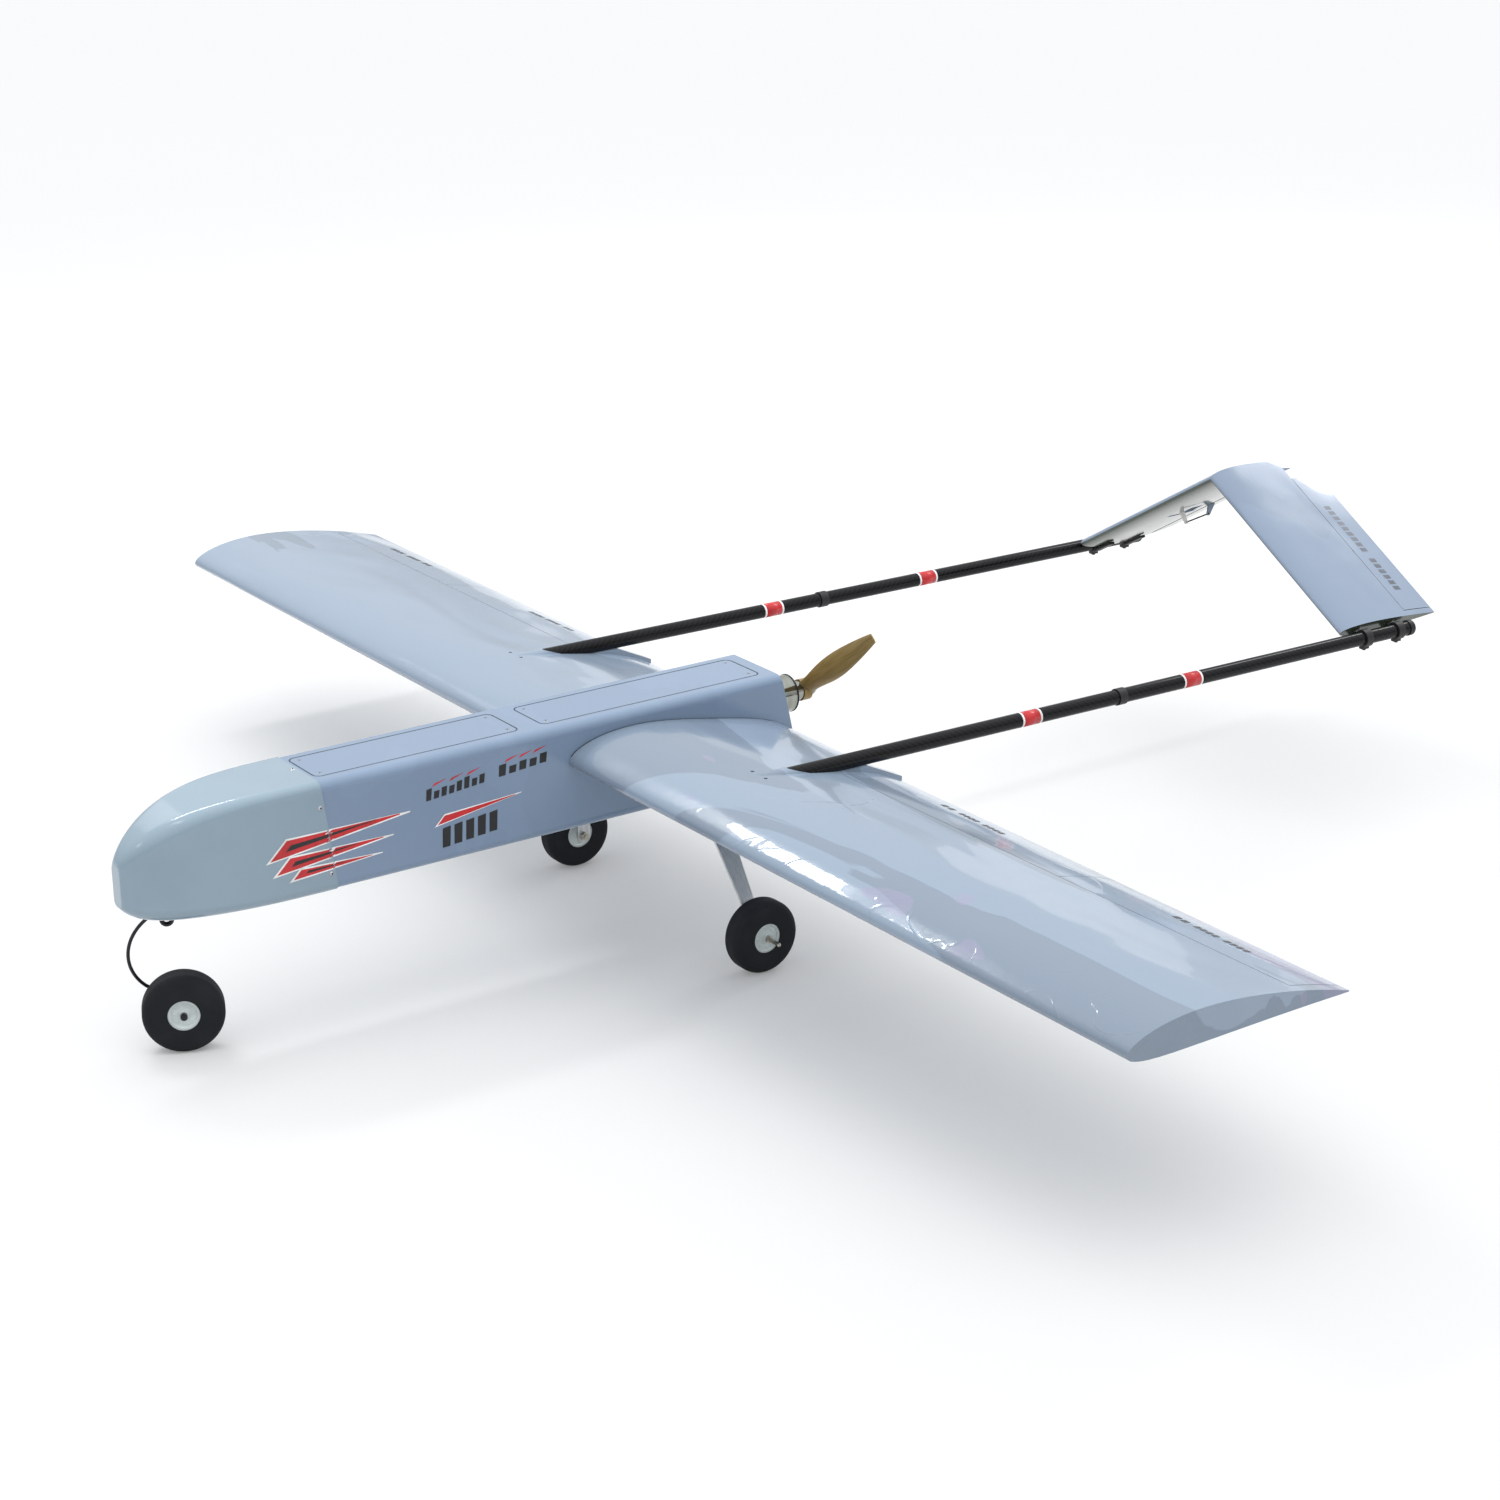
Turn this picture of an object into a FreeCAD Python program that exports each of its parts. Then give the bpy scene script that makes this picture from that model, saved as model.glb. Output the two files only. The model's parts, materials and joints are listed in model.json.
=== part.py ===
import FreeCAD, Part
import math
import os

import Sketcher
from FreeCAD import Placement, Rotation, Vector

# Twin-boom pusher drone. Millimetres. +X is port, -Y is forward, +Z is up, and the wheels stand on Z = 0.
# The fuselage is level. Wing, booms and tail share a wing frame: its origin is the trailing edge at the
# centre line, and it is turned nose up by the wing's incidence.

doc = FreeCAD.newDocument("fixed_wing_drone")
sheet = doc.addObject("Spreadsheet::Sheet", "Sizes")
PORT = 1
STARBOARD = -1
SIDES = {"left": PORT, "right": STARBOARD}

DRIVING = [
    ("wing_datum_y", 19, "trailing edge at the centre line"),
    ("wing_datum_z", 220.5, "height of the trailing edge"),
    ("incidence", 1.07, "degrees, wing and booms against the fuselage"),
    ("half_span", 1000, "centre line to wing tip"),
    ("root_station", 55.6, "wing root beside the fuselage"),
    ("root_chord", 319, ""),
    ("tip_chord", 288.5, ""),
    ("root_nose_rise", 23.5, "leading edge above the trailing edge"),
    ("tip_nose_rise", 3, ""),
    ("root_thickness", 0.145, "of the chord"),
    ("tip_thickness", 0.125, "of the chord"),
    ("root_fullness", 0.5, "extra depth near the trailing edge"),
    ("surface_gap", 1, "gap at hinge lines and surface ends"),
    ("flap_start", 285, ""),
    ("flap_end", 650, "flap ends, aileron starts"),
    ("aileron_end", 985, ""),
    ("hinge_inner", 95, "hinge line ahead of the trailing edge at the flap's root"),
    ("hinge_outer", 68, "the same at the aileron's tip"),
    ("aileron_bevel", 29, "degrees"),
    ("flap_bevel", 39, "degrees"),
    ("aileron_servo_station", 790, ""),
    ("flap_servo_station", 430, ""),
    ("wing_link", 62, "hinge to servo shaft"),
    ("wing_horn_clear", 11, "horn hole below the wing's skin"),
    ("joiner_radius", 7.5, ""),
    ("joiner_ahead", 215, "main joiner ahead of the trailing edge"),
    ("joiner_rise", 22, ""),
    ("joiner_reach", 300, ""),
    ("peg_radius", 4, "rear joiner"),
    ("peg_ahead", 105, ""),
    ("peg_rise", 17, ""),
    ("peg_reach", 130, ""),
    ("boom_station", 266.2, ""),
    ("frame_shift", -30.5, "slide of everything along Y that centres the box on the origin"),
    ("boom_rise", 38.9, "centre of a boom above the wing frame's origin, where it passes the trailing edge"),
    ("boom_tilt", 0.32, "rise of a boom towards the tail, degrees"),
    ("boom_radius", 9, ""),
    ("boom_wall", 1, ""),
    ("boom_start", -190, "inside the wing"),
    ("boom_end", 819, ""),
    ("sleeve_length", 12, ""),
    ("sleeve_wall", 1.4, ""),
    ("left_sleeve", 333, ""),
    ("right_sleeve", 273, ""),
    ("clamp_front", 745, ""),
    ("clamp_rear", 802, ""),
    ("clamp_width", 11, ""),
    ("clamp_wall", 2.6, ""),
    ("tail_nose", 711.4, "tail leading edge behind the wing frame's origin"),
    ("tail_apex", 199.4, "chord plane's ridge above the wing frame's origin"),
    ("tail_slope", 30.2, "degrees"),
    ("tail_chord", 170.3, ""),
    ("tail_hinge", 118.8, "from the tail's leading edge"),
    ("tail_span", 294.4, "along one panel"),
    ("tail_thickness", 0.115, "of the chord"),
    ("ruddervator_start", 30.4, ""),
    ("ruddervator_end", 284.6, ""),
    ("ruddervator_bevel", 29, "degrees"),
    ("tail_servo_station", 160, ""),
    ("tail_link", 43, ""),
    ("tail_horn_clear", 10, ""),
    ("body_width", 110, "fuselage"),
    ("body_height", 131, ""),
    ("body_bottom", 163.5, ""),
    ("body_corner", 11, ""),
    ("body_wall", 3, ""),
    ("body_front", -626, "front edge of the spigot under the nose cone"),
    ("tail_top", 1.5, "rear face at the top"),
    ("tail_bottom", 30, "rear face at the bottom"),
    ("joint_top", -619, "nose joint at the top"),
    ("joint_bottom", -603.5, "nose joint at the bottom"),
    ("nose_proud", 1, "nose cone stands out from the fuselage"),
    ("nose_wall", 1.6, ""),
    ("nose_tip", -843, ""),
    ("hatch_half", 34, "half a hatch's width"),
    ("hatch_plate", 3, ""),
    ("hatch_gap", 0.5, ""),
    ("hatch_corner", 8, ""),
    ("hatch_ledge", 5, ""),
    ("front_hatch_start", -613, ""),
    ("front_hatch_end", -353, ""),
    ("rear_hatch_start", -320.5, ""),
    ("rear_hatch_end", -16.5, ""),
    ("hatch_screw_x", 24.5, ""),
    ("main_wheel_x", 206.1, ""),
    ("main_wheel_y", -137.3, ""),
    ("wheel_radius", 44.5, "main wheels"),
    ("tyre_width", 29, ""),
    ("nose_wheel_radius", 46, ""),
    ("nose_tyre_width", 33, ""),
    ("hub_radius", 18, ""),
    ("axle_radius", 2.5, ""),
    ("leg_thickness", 3, ""),
    ("leg_root_width", 40, ""),
    ("leg_foot_width", 18, ""),
    ("steer_y", -794.4, "steering axis"),
    ("steer_rest", -24, "degrees, steering as it stands"),
    ("wire_radius", 2, "nose gear wire"),
    ("coil_radius", 6.2, ""),
    ("coil_height", 159.5, ""),
    ("nose_wheel_offset", -1, "wheel to port of the steering axis"),
    ("nose_wheel_trail", 16.9, ""),
    ("steer_arm_reach", 22, ""),
    ("steer_link", 92, ""),
    ("tray_height", 186, "underside of the equipment tray"),
    ("tray_plate", 3, ""),
    ("motor_height", 248, "thrust line"),
    ("motor_radius", 23, ""),
    ("motor_face", 50, "rear face of the motor"),
    ("firewall_front", -9, ""),
    ("firewall_plate", 6, ""),
    ("shaft_radius", 2.5, ""),
    ("propeller_pitch", 203, ""),
    ("propeller_plane", 71.5, ""),
    ("propeller_rest", 35.7, "degrees, blade above port"),
    ("pin_radius", 0.8, "push rod pins"),
    ("running_gap", 0.06, "radial play of shafts in bores"),
    ("open_gap", 0.25, "radial play at the open pivots"),
]


class Size:
    """A size from the sheet: its text goes into expressions, its value into plain geometry."""

    def __init__(self, text, value):
        self.text = text
        self.value = value

    def join(self, other, sign, value):
        other_text = other.text if isinstance(other, Size) else repr(other)
        return Size("(%s %s %s)" % (self.text, sign, other_text), value)

    def __add__(self, other):
        return self.join(other, "+", self.value + plain(other))

    def __sub__(self, other):
        return self.join(other, "-", self.value - plain(other))

    def __mul__(self, other):
        return self.join(other, "*", self.value * plain(other))

    def __truediv__(self, other):
        return self.join(other, "/", self.value / plain(other))


def plain(size):
    return size.value if isinstance(size, Size) else size


def fill_sheet():
    for row, (alias, number, note) in enumerate(DRIVING, start=1):
        sheet.set("A%d" % row, note)
        sheet.set("B%d" % row, str(number))
        sheet.setAlias("B%d" % row, alias)
    doc.recompute()
    return {alias: Size("Sizes.%s" % alias, float(sheet.get(alias))) for alias, _, _ in DRIVING}


size = fill_sheet()
mm = {alias: entry.value for alias, entry in size.items()}

WING = Placement(Vector(0, mm["wing_datum_y"], mm["wing_datum_z"]),
                 Rotation(Vector(1, 0, 0), -mm["incidence"]))


# The whole aeroplane slides along Y so that its box is centred on the origin.
FRAME = Placement(Vector(0, mm["frame_shift"], 0), Rotation())

nodes = []


# ---------------------------------------------------------------- document helpers

def shape_node(label, shape, placement=None):
    """A sub-part whose shape comes from Part functions."""
    feature = doc.addObject("Part::Feature", label)
    feature.Label = label
    feature.Shape = shape
    feature.Placement = FRAME.multiply(placement or Placement())
    nodes.append(feature)
    return feature


def body_node(label, placement=None):
    """A sub-part built as a PartDesign body."""
    body = doc.addObject("PartDesign::Body", label)
    body.Label = label
    body.Placement = FRAME.multiply(placement or Placement())
    nodes.append(body)
    return body


def plane_of(body, role):
    for feature in body.Origin.OriginFeatures:
        if feature.Role == role:
            return feature
    raise ValueError("no plane " + role)


def new_sketch(body, name, role="XY_Plane", lift=0):
    """A sketch on one of the body's own planes, lifted along the plane's normal."""
    sketch = body.newObject("Sketcher::SketchObject", name)
    sketch.AttachmentSupport = (plane_of(body, role), [""])
    sketch.MapMode = "FlatFace"
    sketch.AttachmentOffset = Placement(Vector(0, 0, plain(lift)), Rotation())
    if isinstance(lift, Size):
        sketch.setExpression("AttachmentOffset.Base.z", lift.text)
    return sketch


def bind(sketch, constraint, name, length):
    index = sketch.addConstraint(constraint)
    sketch.renameConstraint(index, name)
    if isinstance(length, Size):
        sketch.setExpression("Constraints." + name, length.text)


def pin_point(sketch, geometry, vertex, x, y, tag):
    """Hold one vertex at x, y from the sketch's origin."""
    for kind, length, axis in (("DistanceX", x, -2), ("DistanceY", y, -1)):
        if plain(length) == 0:
            sketch.addConstraint(Sketcher.Constraint("PointOnObject", geometry, vertex, axis))
        else:
            rule = Sketcher.Constraint(kind, -1, 1, geometry, vertex, plain(length))
            bind(sketch, rule, kind[-1].lower() + tag, length)


def outline(sketch, points):
    """A closed polygon whose corners are bound to sizes on the sheet."""
    count = len(points)
    first = sketch.GeometryCount
    for index in range(count):
        start = points[index]
        end = points[(index + 1) % count]
        line = Part.LineSegment(Vector(plain(start[0]), plain(start[1]), 0),
                                Vector(plain(end[0]), plain(end[1]), 0))
        sketch.addGeometry(line)
    for index in range(count):
        following = first + (index + 1) % count
        sketch.addConstraint(Sketcher.Constraint("Coincident", first + index, 2, following, 1))
    for index, (x, y) in enumerate(points):
        pin_point(sketch, first + index, 1, x, y, "%d_%d" % (first, index))


def circle(sketch, radius, x=0, y=0):
    """A circle with its radius and centre bound to sizes on the sheet."""
    index = sketch.addGeometry(Part.Circle(Vector(plain(x), plain(y), 0), Vector(0, 0, 1), plain(radius)))
    bind(sketch, Sketcher.Constraint("Radius", index, plain(radius)), "radius_%d" % index, radius)
    if plain(x) == 0 and plain(y) == 0:
        sketch.addConstraint(Sketcher.Constraint("Coincident", index, 3, -1, 1))
    else:
        pin_point(sketch, index, 3, x, y, "centre_%d" % index)


def rectangle(sketch, width, depth, x=0, y=0):
    """A rectangle centred on x, y."""
    half_width = width / 2
    half_depth = depth / 2
    left = half_width * -1 + x
    right = half_width + x
    low = half_depth * -1 + y
    high = half_depth + y
    outline(sketch, [(left, low), (right, low), (right, high), (left, high)])


def pad(body, sketch, length, both_ways=False):
    feature = body.newObject("PartDesign::Pad", sketch.Name + "_pad")
    feature.Profile = sketch
    feature.Length = plain(length)
    if isinstance(length, Size):
        feature.setExpression("Length", length.text)
    feature.Midplane = both_ways
    return feature


def pocket_through(body, sketch):
    feature = body.newObject("PartDesign::Pocket", sketch.Name + "_pocket")
    feature.Profile = sketch
    feature.Type = "ThroughAll"
    feature.Midplane = True
    return feature


def revolve(body, sketch, axis="V_Axis"):
    feature = body.newObject("PartDesign::Revolution", sketch.Name + "_turned")
    feature.Profile = sketch
    feature.ReferenceAxis = (sketch, [axis])
    feature.Angle = 360
    return feature


def turned_node(label, points, placement, axis="V_Axis"):
    """A turned piece: the outline is radius, height, about the sketch's vertical axis, which is Z."""
    body = body_node(label, placement)
    sketch = new_sketch(body, label + "_profile", "XZ_Plane")
    outline(sketch, points)
    revolve(body, sketch, axis)
    return body


def round_edges(body, radius, picks):
    """Fillet the edges of the tip that the test picks."""
    doc.recompute()
    tip = body.Tip
    names = ["Edge%d" % (n + 1) for n, edge in enumerate(tip.Shape.Edges) if picks(edge)]
    feature = body.newObject("PartDesign::Fillet", body.Label + "_round%d" % len(body.Group))
    feature.Base = (tip, names)
    feature.Radius = plain(radius)
    if isinstance(radius, Size):
        feature.setExpression("Radius", radius.text)
    return feature


def is_upright(edge):
    """True for a straight edge along Z."""
    if len(edge.Vertexes) != 2:
        return False
    start = edge.Vertexes[0].Point
    end = edge.Vertexes[1].Point
    return abs(start.x - end.x) < 1e-6 and abs(start.y - end.y) < 1e-6


# ---------------------------------------------------------------- plain geometry helpers

X_AXIS = Vector(1, 0, 0)
Y_AXIS = Vector(0, 1, 0)
Z_AXIS = Vector(0, 0, 1)


def box(low, high):
    return Part.makeBox(high[0] - low[0], high[1] - low[1], high[2] - low[2], Vector(*low))


def rod(radius, start, end):
    """A round bar between two points."""
    way = end - start
    return Part.makeCylinder(radius, way.Length, start, way)


def face_of(points):
    """A flat face from a list of corner points."""
    return Part.Face(Part.makePolygon(list(points) + [points[0]]))


def loft(wires, ruled=False):
    return Part.makeLoft(wires, True, ruled)


def closed(points):
    return Part.makePolygon(list(points) + [points[0]])


def fuse_all(shapes):
    first = shapes[0]
    return first.multiFuse(shapes[1:]).removeSplitter() if len(shapes) > 1 else first


def plate_link(start, end, start_radius, end_radius, thickness):
    """A flat link along X's normal: two round ends and the straight web between them."""
    way = (end - start).normalize()
    across = X_AXIS.cross(way)
    corners = [start + across * start_radius, end + across * end_radius,
               end - across * end_radius, start - across * start_radius]
    web = face_of([corner - X_AXIS * (thickness / 2) for corner in corners]).extrude(X_AXIS * thickness)
    ends = [rod(radius, point - X_AXIS * (thickness / 2), point + X_AXIS * (thickness / 2))
            for point, radius in ((start, start_radius), (end, end_radius))]
    return fuse_all([web] + ends)


def rounded_section(half_width, low, high, corner, y):
    """A closed wire in the XZ plane at y: a rectangle with round corners."""
    r = corner
    w = half_width
    edges = []
    turns = [(w - r, high - r, 0), (r - w, high - r, 90), (r - w, low + r, 180), (w - r, low + r, 270)]
    arcs = []
    for cx, cz, start in turns:
        points = []
        for step in (0, 45, 90):
            angle = math.radians(start + step)
            points.append(Vector(cx + r * math.cos(angle), y, cz + r * math.sin(angle)))
        arcs.append((Part.Arc(*points).toShape(), points[0], points[2]))
    for index, (arc, _, end) in enumerate(arcs):
        following = arcs[(index + 1) % 4][1]
        edges.append(arc)
        edges.append(Part.LineSegment(end, following).toShape())
    return Part.Wire(edges)


# ---------------------------------------------------------------- wing

TURN_TO_Y = Rotation(X_AXIS, -90)    # a piece turned about Z now lies along +Y
TURN_TO_X = Rotation(Y_AXIS, 90)     # and here along +X

SKIN_STEPS = 12
CAMBER_TO_THICKNESS = 0.29
CAMBER_PEAK = 0.42
BLUNT_EDGE = 0.0026                  # half the trailing edge's thickness, of the chord


def half_thickness(fraction, thickness):
    """Half the section's depth, in chords, of the four-digit family with a blunt trailing edge."""
    f = fraction
    shape = 0.2969 * math.sqrt(f) - 0.126 * f - 0.3516 * f ** 2 + 0.2843 * f ** 3 - 0.1036 * f ** 4
    return 5 * thickness * shape + BLUNT_EDGE * f


def camber(fraction, thickness):
    """A mean line that leaves the underside nearly flat."""
    if fraction < CAMBER_PEAK:
        away = (CAMBER_PEAK - fraction) / CAMBER_PEAK
    else:
        away = (fraction - CAMBER_PEAK) / (1 - CAMBER_PEAK)
    return CAMBER_TO_THICKNESS * thickness * (1 - away ** 2)


def wing_height(end, fraction, upper):
    """Height of the skin at the root or tip section, in the wing frame."""
    chord = mm[end + "_chord"]
    thickness = mm[end + "_thickness"]
    fullness = mm["root_fullness"] if end == "root" else 0
    line = mm[end + "_nose_rise"] * (1 - fraction)
    depth = half_thickness(fraction, thickness)
    if upper:
        extra = fullness * fraction ** 8 * (1 - fraction)
        return line + chord * (camber(fraction, thickness) + depth + extra)
    return line + chord * (camber(fraction, thickness) - depth)


def along_span(station):
    return (station - mm["root_station"]) / (mm["half_span"] - mm["root_station"])


def wing_skin(station, y, upper=True):
    """Height of the wing's skin at any station, from the straight lines between root and tip."""
    blend = along_span(station)
    chord = mm["root_chord"] + (mm["tip_chord"] - mm["root_chord"]) * blend
    fraction = 1 + y / chord
    root = wing_height("root", fraction, upper)
    tip = wing_height("tip", fraction, upper)
    return root + (tip - root) * blend


def section_wire(station, chord_at, height_at):
    """One airfoil: an upper and a lower curve that meet at the nose, and a short straight trailing edge."""
    upper = []
    lower = []
    for step in range(SKIN_STEPS + 1):
        fraction = (step / SKIN_STEPS) ** 2
        upper.append(Vector(station, chord_at(fraction), height_at(fraction, True)))
        lower.append(Vector(station, chord_at(fraction), height_at(fraction, False)))
    skins = []
    for points in (upper[::-1], lower):
        curve = Part.BSplineCurve()
        curve.interpolate(points)
        skins.append(curve.toShape())
    return Part.Wire(skins + [Part.LineSegment(lower[-1], upper[-1]).toShape()])


def wing_section(end):
    station = mm["root_station"] if end == "root" else mm["half_span"]
    chord = mm[end + "_chord"]
    return section_wire(station, lambda f: chord * (f - 1), lambda f, up: wing_height(end, f, up))


def hinge_y(station):
    """The hinge line of flap and aileron, one straight line in plan."""
    blend = (station - mm["flap_start"]) / (mm["aileron_end"] - mm["flap_start"])
    return -(mm["hinge_inner"] + (mm["hinge_outer"] - mm["hinge_inner"]) * blend)


def wing_hinge(start, end):
    """Two points of a hinge axis, on the wing's upper skin."""
    return [Vector(x, hinge_y(x), wing_skin(x, hinge_y(x)) - 0.4) for x in (start, end)]


SURFACES = {
    "flap": (mm["flap_start"], mm["flap_end"] - mm["surface_gap"] / 2, mm["flap_bevel"]),
    "aileron": (mm["flap_end"] + mm["surface_gap"] / 2, mm["aileron_end"], mm["aileron_bevel"]),
}
SERVO_STATION = {"flap": mm["flap_servo_station"], "aileron": mm["aileron_servo_station"]}
REACH = 90                            # cutters stand this far clear of the skins


def behind_hinge(axis, bevel, grow):
    """Solid behind a hinge axis whose front face slopes back below the axis by the bevel."""
    wires = []
    lean = math.tan(math.radians(bevel)) * REACH
    for point, outward in zip(axis, (-1, 1)):
        x = point.x + outward * grow
        front = point.y + (mm["surface_gap"] / 2 if bevel else -mm["surface_gap"] / 2)
        wires.append(closed([Vector(x, front, point.z + REACH), Vector(x, front, point.z),
                             Vector(x, front + lean, point.z - REACH),
                             Vector(x, point.y + 3 * REACH, point.z - REACH),
                             Vector(x, point.y + 3 * REACH, point.z + REACH)]))
    return loft(wires, True)


def hinge_frame(axis, station):
    """Frame on a hinge axis at a station: X outboard along the axis, Y aft, Z up."""
    outboard = (axis[1] - axis[0]).normalize()
    blend = (station - axis[0].x) / (axis[1].x - axis[0].x)
    origin = axis[0] + (axis[1] - axis[0]) * blend
    up = (Z_AXIS - outboard * Z_AXIS.dot(outboard)).normalize()
    aft = up.cross(outboard)
    return Placement(origin, Rotation(outboard, aft, up, "XZY"))


# ---------------------------------------------------------------- servo linkages
# Servo arm, push rod and horn make a parallelogram with the surface. In the linkage frame the hinge axis
# is X, so the arm and the horn are the same vector, and the rod keeps its direction.

ARM_PLATE = 2
SERVO_CASE = ((-28, -6, -6.1), (-2.5, 17, 6.1))
SERVO_SHAFT = 2.5
ROD_WIRE = 1
ROD_ASIDE = 3.2
HORN_LEAN = 3


class Linkage:
    """Pivots of one linkage, all in its hinge frame."""

    def __init__(self, skin_depth, clear, link, drop, bevel):
        self.depth = skin_depth
        self.bevel = bevel
        self.horn = Vector(0, HORN_LEAN, -(skin_depth + clear))
        self.servo = Vector(0, -link, -drop)
        self.arm_end = self.servo + self.horn

    def arm_shape(self):
        middle = X_AXIS * (ARM_PLATE / 2)
        arm = plate_link(self.servo + middle, self.arm_end + middle, 4.6, 2.6, ARM_PLATE)
        bore = rod(SERVO_SHAFT + mm["running_gap"], self.servo - X_AXIS, self.servo + X_AXIS * 4)
        hole = rod(mm["pin_radius"] + mm["running_gap"], self.arm_end - X_AXIS, self.arm_end + X_AXIS * 4)
        return arm.cut(bore).cut(hole)

    def rod_shape(self):
        aside = X_AXIS * ROD_ASIDE
        wire = rod(ROD_WIRE, self.arm_end + aside, self.horn + aside)
        pins = [rod(mm["pin_radius"], point - X_AXIS * 0.6, point + aside)
                for point in (self.arm_end, self.horn)]
        ends = [Part.makeSphere(1.5, point + aside) for point in (self.arm_end, self.horn)]
        return fuse_all([wire] + pins + ends)

    def horn_shape(self):
        middle = X_AXIS * (ARM_PLATE / 2)
        lean = math.tan(math.radians(self.bevel)) * self.depth
        root = Vector(0, lean + 8, 4.5 - self.depth)
        horn = plate_link(root + middle, self.horn + middle, 5, 2.6, ARM_PLATE)
        hole = rod(mm["pin_radius"] + mm["open_gap"], self.horn - X_AXIS, self.horn + X_AXIS * 4)
        return horn.cut(hole)

    def servo_shape(self):
        return servo_shape().translated(self.servo)

    def pocket_shape(self):
        """Room for the servo and for its arm's swing, open below."""
        (x0, y0, _), (x1, y1, z1) = SERVO_CASE
        slack = 0.4
        floor = -self.depth - REACH / 3
        case = box((x0 - slack, y0 - slack, floor), (x1 + slack, y1 + slack, z1 + slack))
        swing = box((x1, -24, floor), (ROD_ASIDE + 2.2, 26, z1 + slack))
        return case.fuse(swing).translated(self.servo)


def servo_shape():
    """A small servo with its output shaft along X at the origin."""
    case = box(*SERVO_CASE)
    rounded = case.makeFillet(1.2, case.Edges)
    boss = rod(5.5, Vector(-3, 0, 0), Vector(-0.4, 0, 0))
    shaft = rod(SERVO_SHAFT, Vector(-1, 0, 0), Vector(ARM_PLATE, 0, 0))
    return fuse_all([rounded, boss, shaft])


def moved(shape, placement):
    """A copy of the shape carried by a placement, with the move worked into its geometry."""
    return shape.transformed(placement.toMatrix(), copy=True)


def sided(shape, side):
    """The port shape, or its mirror image for starboard."""
    return shape if side == PORT else shape.mirror(Vector(0, 0, 0), X_AXIS)


def wing_linkage(kind):
    start, end, bevel = SURFACES[kind]
    axis = wing_hinge(start, end)
    station = SERVO_STATION[kind]
    y = hinge_y(station)
    depth = wing_skin(station, y) - wing_skin(station, y + 15, False)
    frame = hinge_frame(axis, station)
    return axis, frame, Linkage(depth, mm["wing_horn_clear"], mm["wing_link"], 0, bevel)


def boom_at(y):
    """A point on the port boom's axis, which rises a little towards the tail."""
    return Vector(mm["boom_station"], y, mm["boom_rise"] + math.tan(math.radians(mm["boom_tilt"])) * y)


def boom_fairing():
    """Raised skin over the boom's buried end, and the pointed rest under it."""
    low = boom_at(0).z - mm["boom_radius"]
    rest = face_of([Vector(mm["boom_station"] - 9, y, z) for y, z in
                    [(-150, low), (-52, low + 1), (-3, 8.5), (-3, 2), (-150, 15)]]).extrude(X_AXIS * 18)
    cover_radius = mm["boom_radius"] + 0.7
    front = boom_at(BLISTER_BLEND)
    cover = rod(cover_radius, front, boom_at(-110))
    nose = Part.makeCone(2, cover_radius, BLISTER_BLEND - BLISTER_TIP, boom_at(BLISTER_TIP),
                         boom_at(0) - boom_at(-1))
    top = boom_at(BLISTER_END).z + cover_radius
    scarf = face_of([Vector(0, y, z) for y, z in
                     [(BLISTER_END, top), (BLISTER_END + 42, top - 14), (-100, top - 14), (-100, top + 9),
                      (BLISTER_END, top + 9)]]).extrude(X_AXIS * 400)
    return rest.fuse([cover.cut(scarf), nose])


BLISTER_TIP = -250
BLISTER_BLEND = -196
BLISTER_END = -162


def wing_parts():
    """Panel, flap, aileron and their linkages for both sides."""
    blank = loft([wing_section("root"), wing_section("tip")], True)
    panel = blank.fuse(boom_fairing())
    cutters = [rod(mm["boom_radius"] + mm["running_gap"], boom_at(mm["boom_start"] - 1), boom_at(60)),
               rod(mm["joiner_radius"] + mm["running_gap"],
                   Vector(0, -mm["joiner_ahead"], mm["joiner_rise"]),
                   Vector(mm["joiner_reach"] + 1, -mm["joiner_ahead"], mm["joiner_rise"])),
               rod(mm["peg_radius"] + mm["running_gap"], Vector(0, -mm["peg_ahead"], mm["peg_rise"]),
                   Vector(mm["peg_reach"] + 1, -mm["peg_ahead"], mm["peg_rise"]))]
    cutters += [rod(BOOM_SCREW + mm["running_gap"], low, high + Z_AXIS * 30)
                for low, high in boom_screw_ends()]
    parts = {}
    for kind, (start, end, bevel) in SURFACES.items():
        axis, frame, link = wing_linkage(kind)
        grow = mm["surface_gap"] / 2 if kind == "flap" else mm["surface_gap"]
        cutters.append(behind_hinge(axis, 0, grow))
        cutters.append(moved(link.pocket_shape(), frame))
        surface = blank.common(behind_hinge(axis, bevel, 0))
        parts[kind] = surface.fuse(moved(link.horn_shape(), frame))
        parts[kind + "_servo_arm"] = moved(link.arm_shape(), frame)
        parts[kind + "_push_rod"] = moved(link.rod_shape(), frame)
        parts[kind + "_servo"] = moved(link.servo_shape(), frame)
    parts["wing_panel"] = panel.cut(cutters)
    return parts


BOOM_SCREW = 2.3
BOOM_SCREW_ASIDE = 13.1
BOOM_SCREW_Y = -198.6


def boom_screw_ends():
    """Lower end and head of the two screws that clamp a boom's socket, in the wing frame."""
    ends = []
    for aside in (-BOOM_SCREW_ASIDE, BOOM_SCREW_ASIDE):
        x = mm["boom_station"] + aside
        top = wing_skin(x, BOOM_SCREW_Y)
        ends.append((Vector(x, BOOM_SCREW_Y, top - 24), Vector(x, BOOM_SCREW_Y, top - 2.5)))
    return ends


# ---------------------------------------------------------------- tail

TAIL_LOCAL = Placement(Vector(0, mm["tail_nose"], mm["tail_apex"]),
                       Rotation(Y_AXIS, mm["tail_slope"]))


def tail_skin(y):
    return mm["tail_chord"] * half_thickness(y / mm["tail_chord"], mm["tail_thickness"])


def tail_section(station):
    chord = mm["tail_chord"]
    return section_wire(station, lambda f: chord * f,
                        lambda f, up: (1 if up else -1) * tail_skin(f * chord))


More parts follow.
